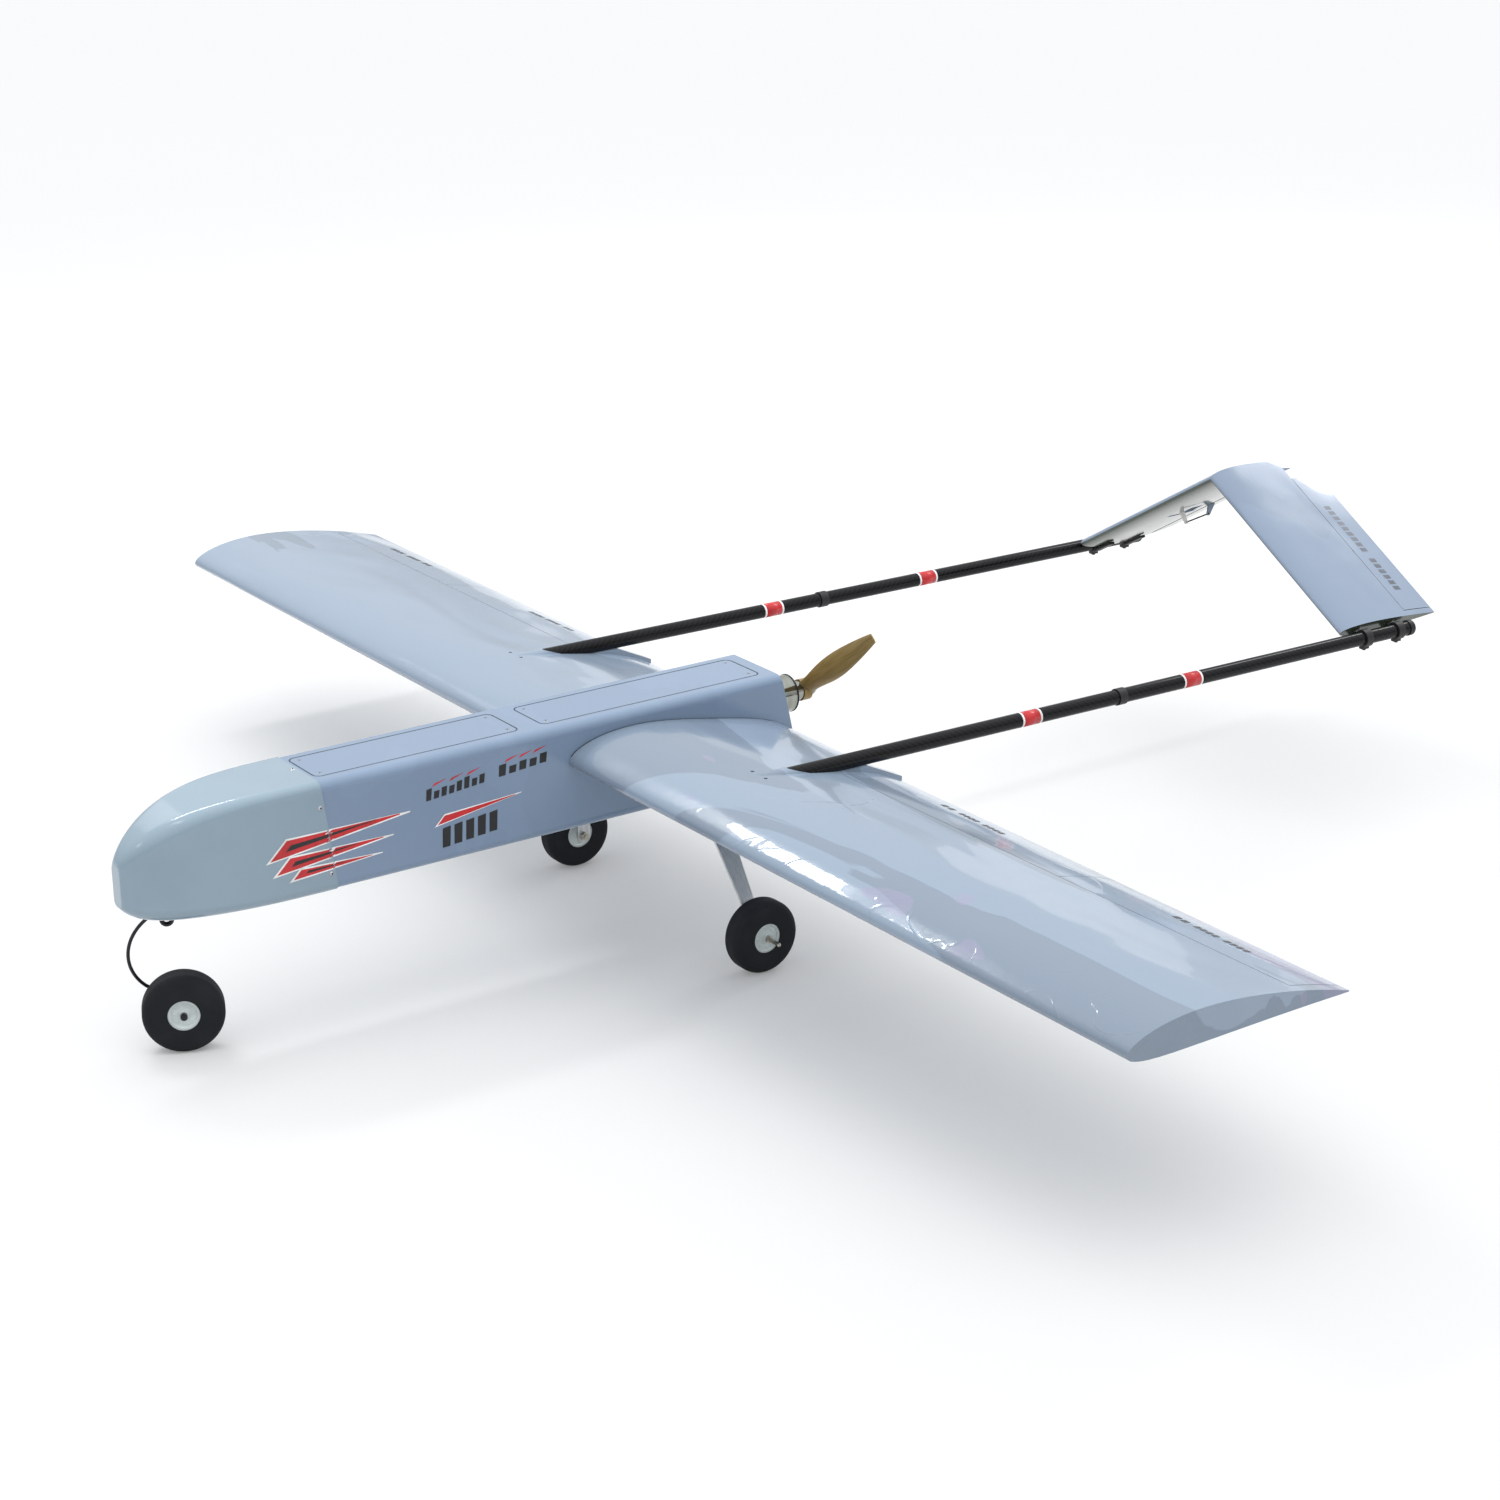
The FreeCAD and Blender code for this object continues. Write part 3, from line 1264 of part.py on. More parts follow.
def main_axle():
    """Port axle bolt, its jam nut against the leg and the collar outside the wheel."""
    y = mm["main_wheel_y"]
    z = mm["wheel_radius"]
    wheel = mm["main_wheel_x"]
    inner_face = wheel - 21.6 - mm["leg_thickness"] / 2
    outer_face = inner_face + mm["leg_thickness"]
    r = mm["axle_radius"]

    def at(x):
        return Vector(x, y, z)

    tip = at(wheel + 37)
    bolt = fuse_all([rod(r, at(inner_face - 6), tip), Part.makeSphere(r, tip),
                     hexagon(11.5, at(inner_face - 4), at(inner_face))])
    nut = hexagon(9.5, at(outer_face), at(outer_face + 3.6)).cut(rod(r, at(0), at(400)))
    collar = rod(4.4, at(wheel + 16.4), at(wheel + 19.6)).cut(rod(r, at(0), at(400)))
    return [bolt, nut, collar]


def gear():
    port_leg = gear_leg()
    shape_node("main_gear_legs", Part.makeCompound([port_leg, sided(port_leg, STARBOARD)]))
    axle = main_axle()
    shape_node("main_axles", Part.makeCompound(axle + [sided(piece, STARBOARD) for piece in axle]))
    low = mm["body_bottom"] - mm["leg_thickness"]
    bolts = []
    for x, y in leg_bolt_spots():
        head = hexagon(8, Vector(x, y, low - 2.8), Vector(x, y, low))
        bolts.append(head.fuse(rod(LEG_BOLT, Vector(x, y, low - 1), Vector(x, y, low + 20))))
    shape_node("gear_leg_bolts", Part.makeCompound(bolts))
    inside = mm["body_bottom"] + mm["body_wall"]
    block = body_node("gear_block", Placement(Vector(0, mm["main_wheel_y"], inside), Rotation()))
    sketch = new_sketch(block, "gear_block_outline")
    rectangle(sketch, size["body_width"] - size["body_wall"] * 2 - size["body_corner"] * 2,
              size["leg_root_width"] + 6)
    pad(block, sketch, size["leg_thickness"] * 4)
    holes = new_sketch(block, "gear_block_holes")
    for x, _ in leg_bolt_spots():
        circle(holes, LEG_BOLT, x, 0)
    pocket_through(block, holes)


def wheel(name, placement, axle, tread, width):
    """Foam tyre and nylon hub, turned about the axle."""
    rim = size["hub_radius"]
    half = width / 2
    tyre = turned_node(name + "_tyre", [(rim, half * -1), (tread, half * -1), (tread, half), (rim, half)],
                       placement)
    tyre.Tip = round_edges(tyre, 9, lambda edge: abs(edge.BoundBox.XMax - tread.value) < 0.01
                           and edge.BoundBox.ZLength < 0.01)
    bore = axle + size["running_gap"]
    face = half - 1.5
    points = [(bore, 16), (5.5, 16), (5.5, 12), (8, 11), (14.5, 11), (15.5, face), (rim, face)]
    mirrored = [(x, y * -1) for x, y in points[::-1]]
    turned_node(name + "_hub", points[::-1] + [(x, y) for x, y in mirrored[::-1]], placement)


def main_wheels():
    for word, side in SIDES.items():
        centre = Vector(side * mm["main_wheel_x"], mm["main_wheel_y"], mm["wheel_radius"])
        wheel(word + "_main", Placement(centre, TURN_TO_X), size["axle_radius"], size["wheel_radius"],
              size["tyre_width"])


STEER = Placement(Vector(0, mm["steer_y"], 0), Rotation(Z_AXIS, mm["steer_rest"]))
STEER_PLATE = 217                    # underside of both steering arms
WIRE_TOP = 222
BOW_TOP = Vector(2, -3.9, 167.5)
BOW_MIDDLE = Vector(-7.5, -38.8, 113)
BOW_LOW = Vector(-20.4, -22, 71)
AXLE_LEFT = 20.2                     # free end of the nose axle, to port
COIL_TURNS = 3


def bent_wire(radius, edges):
    """Round wire along edges, with a ball at each joint."""
    pieces = []
    for edge in edges:
        start = edge.valueAt(edge.FirstParameter)
        way = edge.tangentAt(edge.FirstParameter)
        ring = Part.Wire([Part.makeCircle(radius, start, way)])
        pieces.append(Part.Wire([edge]).makePipeShell([ring], True, True))
        pieces.append(Part.makeSphere(radius, start))
    return pieces


def nose_gear():
    """Steel wire leg: shaft, coil, bow ahead of the wheel, and the axle bent to port."""
    r = mm["wire_radius"]
    coil_y = mm["coil_radius"]
    axle_y = mm["nose_wheel_trail"]
    z = mm["nose_wheel_radius"]
    pitch = 2 * r - 0.4
    coil = [Part.makeTorus(mm["coil_radius"], r, Vector(turn * pitch, coil_y, mm["coil_height"]), X_AXIS)
            for turn in range(COIL_TURNS)]
    shaft = rod(r, Vector(0, 0, mm["coil_height"]), Vector(0, 0, WIRE_TOP))
    foot = Vector(BOW_LOW.x, axle_y, z)
    coil_end = Vector(pitch * (COIL_TURNS - 1), coil_y, mm["coil_height"] + mm["coil_radius"])
    lead = Part.LineSegment(coil_end, BOW_TOP).toShape()
    bow = Part.Arc(BOW_TOP, BOW_MIDDLE, BOW_LOW).toShape()
    low = Part.LineSegment(BOW_LOW, foot).toShape()
    axle = Part.LineSegment(foot, Vector(AXLE_LEFT, axle_y, z)).toShape()
    leg = fuse_all([shaft] + coil + bent_wire(r, [lead, bow, low, axle]))
    wheel_x = mm["nose_wheel_offset"]
    collar = rod(4, Vector(wheel_x + 16.4, axle_y, z), Vector(wheel_x + 20.5, axle_y, z))
    shape_node("nose_gear_leg", leg.fuse(collar), STEER)
    place = STEER.multiply(Placement(Vector(wheel_x, axle_y, z), TURN_TO_X))
    wheel("nose", place, size["wire_radius"], size["nose_wheel_radius"], size["nose_tyre_width"])
    arm_place = STEER.multiply(Placement(Vector(0, 0, STEER_PLATE), Rotation()))
    shape_node("nose_steering_arm", steer_arm(r), arm_place)


def steer_arm(bore):
    """Flat arm from the origin to starboard, with a pivot hole."""
    reach = mm["steer_arm_reach"]
    turn = Placement(Vector(0, 0, 1), Rotation(Y_AXIS, -90))
    arm = plate_link(Vector(0, 0, 0), Vector(0, 0, reach), 5.5, 3, 2)
    arm = moved(arm, turn)
    hole = rod(bore, Vector(0, 0, -5), Vector(0, 0, 9))
    pivot = rod(mm["pin_radius"] + mm["open_gap"], Vector(-reach, 0, -5), Vector(-reach, 0, 9))
    return arm.cut([hole, pivot])


def steering():
    """Bearing block, servo, servo arm and push rod."""
    block = body_node("nose_gear_block", Placement(Vector(0, mm["steer_y"], 173), Rotation()))
    sketch = new_sketch(block, "block_outline")
    outline(sketch, [(-15, -10), (15, -10), (15, 10), (-15, 10)])
    circle(sketch, size["wire_radius"] + size["running_gap"])
    pad(block, sketch, size["tray_height"] - 173)
    servo_place = Vector(0, mm["steer_y"] + mm["steer_link"], STEER_PLATE)
    rest = Rotation(Z_AXIS, mm["steer_rest"])
    shape_node("steering_servo_arm", steer_arm(SERVO_SHAFT + mm["running_gap"]), Placement(servo_place, rest))
    reach = rest.multVec(Vector(-mm["steer_arm_reach"], 0, 0))
    rear = servo_place + reach + Z_AXIS * 4
    front = rear - Y_AXIS * mm["steer_link"]
    pins = [rod(mm["pin_radius"], end, end - Z_AXIS * 5) for end in (rear, front)]
    shape_node("steering_push_rod", fuse_all([rod(ROD_WIRE, rear, front)] + pins +
                                             [Part.makeSphere(1.5, end) for end in (rear, front)]))
    upright = Placement(servo_place, Rotation(Z_AXIS, 0).multiply(Rotation(Y_AXIS, -90)))
    return moved(servo_shape(), upright)


# ---------------------------------------------------------------- assembly

def joiners():
    tubes = [rod(radius, centre - X_AXIS * reach, centre + X_AXIS * reach)
             for centre, radius, reach in joiner_spots()]
    shape_node("wing_joiner_tubes", Part.makeCompound(tubes), WING)


def boom_fittings():
    clamps = [clamp_shape(y) for y in (mm["clamp_front"], mm["clamp_rear"])]
    screws = [clamp_screw(y) for y in (mm["clamp_front"], mm["clamp_rear"])]
    screws += [rod(BOOM_SCREW, low, high) for low, high in boom_screw_ends()]
    for label, pieces in (("tail_clamps", clamps), ("boom_screws", screws)):
        both = pieces + [sided(piece, STARBOARD) for piece in pieces]
        shape_node(label, Part.makeCompound(both), WING)


def build():
    fuselage_shell()
    nose_cone()
    for name in HATCHES:
        hatch(name)
    cover_screws()
    formers()
    firewall()
    equipment_tray()
    equipment()
    wing_servos = wing_group()
    joiners()
    booms()
    boom_fittings()
    motor()
    propeller()
    gear()
    main_wheels()
    nose_gear()
    steering_servo = steering()
    servos = [moved(sided(servo, side), WING) for servo in wing_servos for side in SIDES.values()]
    shape_node("servos", Part.makeCompound(servos + [steering_servo]))
    doc.recompute()


def check_all():
    for thing in doc.Objects:
        broken = [word for word in thing.State if word in ("Invalid", "Error")]
        if broken:
            raise RuntimeError("%s is %s" % (thing.Label, broken))
    for node in nodes:
        shape = node.Shape
        if shape.isNull() or not shape.isValid() or not shape.Solids or shape.Volume <= 0:
            raise RuntimeError("%s has a bad shape" % node.Label)
    if len(set(node.Label for node in nodes)) != len(nodes):
        raise RuntimeError("two sub-parts share a label")


def write_all():
    os.makedirs("parts", exist_ok=True)
    for node in nodes:
        node.Shape.exportStep("parts/%s.step" % node.Label)


build()
check_all()
write_all()
print(len(nodes), "sub-parts")
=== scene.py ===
"""Looks of the fixed wing drone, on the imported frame.

Lengths are in metres, in the row frame: +Z up, +X to port, -Y towards the nose.
"""

import json
import math

import bpy
from mathutils import Matrix, Vector
from mathutils.bvhtree import BVHTree


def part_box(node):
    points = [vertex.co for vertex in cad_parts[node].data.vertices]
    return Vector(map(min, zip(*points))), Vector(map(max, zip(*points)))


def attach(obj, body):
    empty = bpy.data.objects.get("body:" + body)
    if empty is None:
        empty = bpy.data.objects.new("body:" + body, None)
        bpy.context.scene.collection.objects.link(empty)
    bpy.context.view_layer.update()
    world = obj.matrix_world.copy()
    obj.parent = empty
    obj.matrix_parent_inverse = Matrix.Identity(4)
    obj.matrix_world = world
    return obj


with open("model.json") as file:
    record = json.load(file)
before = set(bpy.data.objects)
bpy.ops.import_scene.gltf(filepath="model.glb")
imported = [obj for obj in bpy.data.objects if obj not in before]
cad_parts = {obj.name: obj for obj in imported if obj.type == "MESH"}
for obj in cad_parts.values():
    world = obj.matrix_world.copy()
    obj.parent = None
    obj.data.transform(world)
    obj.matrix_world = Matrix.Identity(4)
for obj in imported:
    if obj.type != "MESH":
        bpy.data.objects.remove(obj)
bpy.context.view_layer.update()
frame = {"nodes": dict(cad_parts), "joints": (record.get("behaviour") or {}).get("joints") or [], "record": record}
nodes = frame["nodes"]
SIDES = (("left", 1), ("right", -1))


# ---------------------------------------------------------------- materials

class Look:
    """One procedural material, built in steps round a Principled shader."""

    def __init__(self, name, colour, roughness, metallic=0.0, coat=0.0, specular=0.5):
        self.material = bpy.data.materials.new(name)
        self.material.use_nodes = True
        self.tree = self.material.node_tree
        self.shader = self.tree.nodes["Principled BSDF"]
        self.colour = (*colour, 1)
        self.set("Base Color", self.colour)
        self.set("Roughness", roughness)
        self.set("Metallic", metallic)
        self.set("Coat Weight", coat)
        self.set("Coat Roughness", 0.03)
        self.set("Specular IOR Level", specular)
        self.coordinates = self.tree.nodes.new("ShaderNodeTexCoord").outputs["Object"]

    def set(self, socket, value):
        self.shader.inputs[socket].default_value = value

    def link(self, source, target):
        self.tree.links.new(source, target)

    def place(self, turn=(0, 0, 0), scale=(1, 1, 1), vector=None):
        """Coordinates scaled by axis and then turned."""
        mapping = self.tree.nodes.new("ShaderNodeMapping")
        mapping.vector_type = "POINT"
        mapping.inputs["Rotation"].default_value = turn
        mapping.inputs["Scale"].default_value = scale
        self.link(vector or self.coordinates, mapping.inputs["Vector"])
        return mapping.outputs["Vector"]

    def noise(self, scale, detail=3.0, vector=None, distortion=0.0, roughness=0.5):
        node = self.tree.nodes.new("ShaderNodeTexNoise")
        node.inputs["Scale"].default_value = scale
        node.inputs["Detail"].default_value = detail
        node.inputs["Distortion"].default_value = distortion
        node.inputs["Roughness"].default_value = roughness
        self.link(vector or self.coordinates, node.inputs["Vector"])
        return node.outputs["Fac"]

    def math(self, operation, first, second=None):
        node = self.tree.nodes.new("ShaderNodeMath")
        node.operation = operation
        for socket, value in zip(node.inputs, (first, second)):
            if value is None:
                continue
            if isinstance(value, (int, float)):
                socket.default_value = value
            else:
                self.link(value, socket)
        return node.outputs["Value"]

    def spread(self, source, low, high, from_low=0.0, from_high=1.0):
        """Map a source from one range to another."""
        node = self.tree.nodes.new("ShaderNodeMapRange")
        node.inputs["From Min"].default_value = from_low
        node.inputs["From Max"].default_value = from_high
        node.inputs["To Min"].default_value = low
        node.inputs["To Max"].default_value = high
        self.link(source, node.inputs["Value"])
        return node.outputs["Result"]

    def blend_colour(self, other, factor, under=None):
        """Base colour goes from what it is to other as the factor goes to 1."""
        node = self.tree.nodes.new("ShaderNodeMix")
        node.data_type = "RGBA"
        if under is None:
            node.inputs["A"].default_value = self.colour
        else:
            self.link(under, node.inputs["A"])
        node.inputs["B"].default_value = (*other, 1)
        self.link(factor, node.inputs["Factor"])
        self.link(node.outputs["Result"], self.shader.inputs["Base Color"])
        return node.outputs["Result"]

    def vary_roughness(self, source, low, high):
        self.link(self.spread(source, low, high), self.shader.inputs["Roughness"])

    def bump(self, height, strength, distance, under=None):
        """Relief of the given depth in metres; under carries on from a bump made before."""
        node = self.tree.nodes.new("ShaderNodeBump")
        node.inputs["Strength"].default_value = strength
        node.inputs["Distance"].default_value = distance
        self.link(height, node.inputs["Height"])
        if under is not None:
            self.link(under, node.inputs["Normal"])
        self.link(node.outputs["Normal"], self.shader.inputs["Normal"])
        self.link(node.outputs["Normal"], self.shader.inputs["Coat Normal"])
        return node.outputs["Normal"]

    def facing_down(self):
        """1 where the surface faces down, 0 where it faces up."""
        normal = self.tree.nodes.new("ShaderNodeNewGeometry").outputs["True Normal"]
        split = self.tree.nodes.new("ShaderNodeSeparateXYZ")
        self.link(normal, split.inputs["Vector"])
        return self.spread(split.outputs["Z"], 1, 0, -0.25, -0.1)


REFLECTION_PATCH_EDGE = (0.562, 0.567)             # noise values where a darker painted reflection starts and is full
ROSY_REFLECTION_EDGE = (0.655, 0.66)               # the same for a warmer painted reflection


def film_look(name, colour, ripple, reflection_patch_scale, patch=0.86, under=None, crease=0.0004):
    """Glossy covering film: shallow ripples, hairline wrinkles and sharp-edged painted reflections in darker and
    warmer tones.

    ripple and crease are depths in metres, patch is the share of the colour that the darker painted reflections
    keep, and under is a darker colour for faces that look down, painted shade with an olive tint.
    """
    look = Look(name, colour, 0.2, coat=0.5, specular=0.35)
    stretched = look.place((0, 0, 0.12), (0.4, 1.5, 1.0))
    # a sharp-edged darker tone where the noise is high: a painted reflection of the studio
    reflection_patches = look.noise(reflection_patch_scale, 5.0, stretched, distortion=0.9, roughness=0.42)
    reflection_toned = look.blend_colour(tuple(c * patch for c in colour), look.spread(reflection_patches, 0, 1, *REFLECTION_PATCH_EDGE))
    # a warmer tone in other places: also a painted reflection
    rosy_reflection = look.noise(reflection_patch_scale * 0.8, 3.0, look.place((0.3, 0, 0), (0.5, 1.4, 1.0)), distortion=1.0)
    rosy_reflection_tint = (colour[0] * (2.1 - patch) * 0.89, colour[1] * (0.1 + patch) * 0.97, colour[2] * 0.98)
    reflection_toned = look.blend_colour(rosy_reflection_tint, look.spread(rosy_reflection, 0, 0.45, *ROSY_REFLECTION_EDGE), reflection_toned)
    # faces that look down take the under colour: painted shade, with an olive tint
    if under:
        look.blend_colour(under, look.facing_down(), reflection_toned)
    look.vary_roughness(look.noise(40, 3.0), 0.14, 0.26)
    swell = look.noise(5.5, 1.0, look.place(scale=(0.6, 1.4, 1.4)), distortion=0.8)
    slow = look.bump(swell, 1.0, ripple)
    line = look.math("ABSOLUTE", look.math("SUBTRACT", look.noise(4.5, 2.0, distortion=1.4), 0.5))
    where = look.spread(look.noise(2.6, 1.0), 0, 1, 0.56, 0.64)
    fine = look.bump(look.math("MULTIPLY", look.spread(line, 1, 0, 0, 0.006), where), 0.6, crease, slow)
    look.bump(look.noise(60, 2.0), 0.2, 0.00012, fine)
    return look.material


def paint_look(name, colour):
    """Gloss paint on moulded fibreglass, with faint orange peel."""
    look = Look(name, colour, 0.22, coat=0.8)
    look.blend_colour(tuple(c * 0.93 for c in colour), look.spread(look.noise(9, 3.0), 0, 1, 0.4, 0.65))
    look.vary_roughness(look.noise(30, 3.0), 0.16, 0.28)
    slow = look.bump(look.noise(14, 1.0), 0.5, 0.0008)
    look.bump(look.noise(420, 2.0), 0.12, 0.0002, slow)
    return look.material


def plastic_look(name, colour, roughness=0.5, grain=900):
    look = Look(name, colour, roughness)
    look.blend_colour(tuple(c * 0.75 for c in colour), look.spread(look.noise(35, 4.0), 0, 1, 0.4, 0.7))
    look.vary_roughness(look.noise(120, 3.0), roughness * 0.85, min(roughness * 1.2, 1))
    look.bump(look.noise(grain, 2.0), 0.3, 0.0001)
    return look.material


def metal_look(name, colour, roughness, stretch=(1, 1, 1), scale=300):
    """Metal with fine drawn or turned lines along the stretched axis."""
    look = Look(name, colour, roughness, metallic=1.0)
    lines = look.noise(scale, 3.0, look.place(scale=stretch))
    look.blend_colour(tuple(c * 0.8 for c in colour), look.spread(lines, 0, 1, 0.35, 0.7))
    look.vary_roughness(lines, roughness * 0.75, roughness * 1.35)
    look.bump(lines, 0.15, 0.00005)
    return look.material


def wood_look(name, colour, dark, turn, grain_scale=70, varnish=0.0):
    """Grain runs along the X axis as turned."""
    look = Look(name, colour, 0.55, coat=varnish, specular=0.2)
    turned_way = look.place(turn)
    along = look.place(scale=(0.06, 1, 1), vector=turned_way)
    rings = look.noise(grain_scale, 3.0, along)
    fibre = look.noise(900, 4.0, look.place(scale=(0.03, 1, 1), vector=turned_way))
    mixed = look.math("MULTIPLY", rings, fibre)
    look.blend_colour(dark, look.spread(mixed, 0, 1, 0.16, 0.34))
    look.vary_roughness(fibre, 0.28 if varnish else 0.5, 0.42 if varnish else 0.75)
    look.bump(fibre, 0.2, 0.0001)
    return look.material


def foam_look(name, colour):
    """Dense tyre foam: fine closed cells, a little paler where it has rubbed."""
    look = Look(name, colour, 0.8, specular=0.2)
    look.blend_colour(tuple(c * 1.9 for c in colour), look.spread(look.noise(22, 5.0), 0, 0.6, 0.5, 0.75))
    cells = look.noise(1500, 3.0)
    look.vary_roughness(cells, 0.6, 0.9)
    look.bump(cells, 0.45, 0.0003)
    return look.material


TOW = 0.0021                            # length of one tow's crossing along the tube
TOWS_ROUND = 28                         # crossings in one turn round the tube


def carbon_look(name, boom_x, height_at_origin, slope):
    """Woven twill round each boom's axis, under clear gloss: every tow passes over two and under two."""
    look = Look(name, (0.0025, 0.0025, 0.003), 0.3, coat=0.4, specular=0.03)
    split = look.tree.nodes.new("ShaderNodeSeparateXYZ")
    look.link(look.coordinates, split.inputs["Vector"])
    across = look.math("SUBTRACT", look.math("ABSOLUTE", split.outputs["X"]), boom_x)
    axis_height = look.math("MULTIPLY_ADD", split.outputs["Y"], slope)
    axis_height.node.inputs[2].default_value = height_at_origin
    above = look.math("SUBTRACT", split.outputs["Z"], axis_height)
    round_turns = look.math("MULTIPLY", look.math("ARCTAN2", above, across), TOWS_ROUND / (2 * math.pi))
    along = look.math("MULTIPLY", split.outputs["Y"], 1 / TOW)
    column = look.math("FLOOR", round_turns)
    row = look.math("FLOOR", along)
    step = look.math("WRAP", look.math("ADD", column, row), 4.0)
    step.node.inputs[2].default_value = 0.0
    over = look.math("LESS_THAN", step, 1.5)
    look.blend_colour((0.006, 0.0065, 0.0075), over)
    look.vary_roughness(over, 0.3, 0.45)
    look.bump(over, 0.15, 0.00005)
    return look.material


# ---------------------------------------------------------------- mesh helpers

def mesh_piece(name, points, faces, body, material, slot, smooth=True):
    """A new mesh piece that rides on a body and takes the given material."""
    mesh = bpy.data.meshes.new(name)
    mesh.from_pydata([tuple(p) for p in points], [], faces)
    mesh.validate()
    mesh.update()
    for polygon in mesh.polygons:
        polygon.use_smooth = smooth
    piece = bpy.data.objects.new(name, mesh)
    bpy.context.scene.collection.objects.link(piece)
    mesh.materials.append(material)
    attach(piece, body)
    return piece


def joined(name, parts, body, material, slot):
    """Several point-and-face lists as one piece."""
    points = []
    faces = []
    for part_points, part_faces in parts:
        base = len(points)
        points += part_points
        faces += [tuple(base + i for i in face) for face in part_faces]
    return mesh_piece(name, points, faces, body, material, slot)


def frame_along(direction):
    """Two unit vectors across a direction."""
    way = Vector(direction).normalized()
    helper = Vector((1, 0, 0)) if abs(way.x) < 0.9 else Vector((0, 1, 0))
    first = way.cross(helper).normalized()
    return first, way.cross(first).normalized()


def turned(start, direction, profile, segments=48):
    """Points and faces of a turned form. The profile is pairs of distance along and radius."""
    way = Vector(direction).normalized()
    first, second = frame_along(way)
    points = []
    for along, radius in profile:
        for step in range(segments):
            angle = 2 * math.pi * step / segments
            out = first * math.cos(angle) + second * math.sin(angle)
            points.append(Vector(start) + way * along + out * radius)
    faces = []
    for ring in range(len(profile) - 1):
        for step in range(segments):
            after = (step + 1) % segments
            faces.append((ring * segments + step, ring * segments + after,
                          (ring + 1) * segments + after, (ring + 1) * segments + step))
    return points, faces


def surface_of(*names):
    """A ray target made from CAD nodes."""
    points = []
    faces = []
    for name in names:
        base = len(points)
        mesh = nodes[name].data
        points += [v.co.copy() for v in mesh.vertices]
        faces += [[base + i for i in polygon.vertices] for polygon in mesh.polygons]
    return BVHTree.FromPolygons(points, faces)


def first_hit(target, start, way):
    """The first point that a ray meets; a ray that slips between two faces is tried again beside itself."""
    for aside in (0, 0.00003, -0.00003, 0.0001):
        hit, normal, _, _ = target.ray_cast(start + Vector((aside, aside, aside)), way)
        if hit is not None:
            return hit, normal
    return None, None


def dropped(name, corners, target, direction, lift, steps):
    """Points and faces of a four-cornered patch dropped along a direction on to a CAD surface."""
    way = Vector(direction).normalized()
    a, b, c, d = [Vector(corner) for corner in corners]
    points = []
    columns, rows = steps
    for row in range(rows + 1):
        v = row / rows
        for column in range(columns + 1):
            u = column / columns
            flat = a.lerp(b, u).lerp(d.lerp(c, u), v)
            hit, normal = first_hit(target, flat, way)
            if hit is None:
                raise RuntimeError("decal %s misses its surface near %s" % (name, flat))
            if normal.dot(way) > 0:
                normal = -normal
            points.append(hit + normal * lift)
    faces = []
    for row in range(rows):
        for column in range(columns):
            corner = row * (columns + 1) + column
            faces.append((corner, corner + 1, corner + columns + 2, corner + columns + 1))
    return points, faces


def draped(name, corners, target, direction, body, material, slot, lift, steps):
    """A thin decal that lies on a CAD surface."""
    return mesh_piece(name, *dropped(name, corners, target, direction, lift, steps), body, material, slot)


def body_of(node):
    """The body that a CAD node rides on."""
    for body, members in frame["record"]["behaviour"]["bodies"].items():
        if node in members:
            return body
    raise KeyError(node)


def loose_parts(node):
    """Boxes of a node's separate solids."""
    mesh = nodes[node].data
    parent = list(range(len(mesh.vertices)))

    def root(i):
        while parent[i] != i:
            parent[i] = parent[parent[i]]
            i = parent[i]
        return i

    welded = {}
    for vertex in mesh.vertices:
        key = tuple(round(c, 6) for c in vertex.co)
        parent[root(vertex.index)] = root(welded.setdefault(key, vertex.index))
    for edge in mesh.edges:
        parent[root(edge.vertices[0])] = root(edge.vertices[1])
    groups = {}
    for vertex in mesh.vertices:
        groups.setdefault(root(vertex.index), []).append(vertex.co)
    boxes = []
    for points in groups.values():
        low = Vector([min(p[k] for p in points) for k in range(3)])
        high = Vector([max(p[k] for p in points) for k in range(3)])
        boxes.append((low, high))
    return boxes


# ---------------------------------------------------------------- materials of the CAD nodes

tube_low, tube_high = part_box("boom_tubes")
BOOM_RADIUS = 0.009
BOOM_X = tube_high.x - BOOM_RADIUS
BOOM_FRONT = Vector((BOOM_X, tube_low.y, tube_high.z - BOOM_RADIUS))
BOOM_REAR = Vector((BOOM_X, tube_high.y, tube_low.z + BOOM_RADIUS))
boom_slope = (BOOM_REAR.z - BOOM_FRONT.z) / (BOOM_REAR.y - BOOM_FRONT.y)
PROPELLER_TURN = math.radians(35.7)

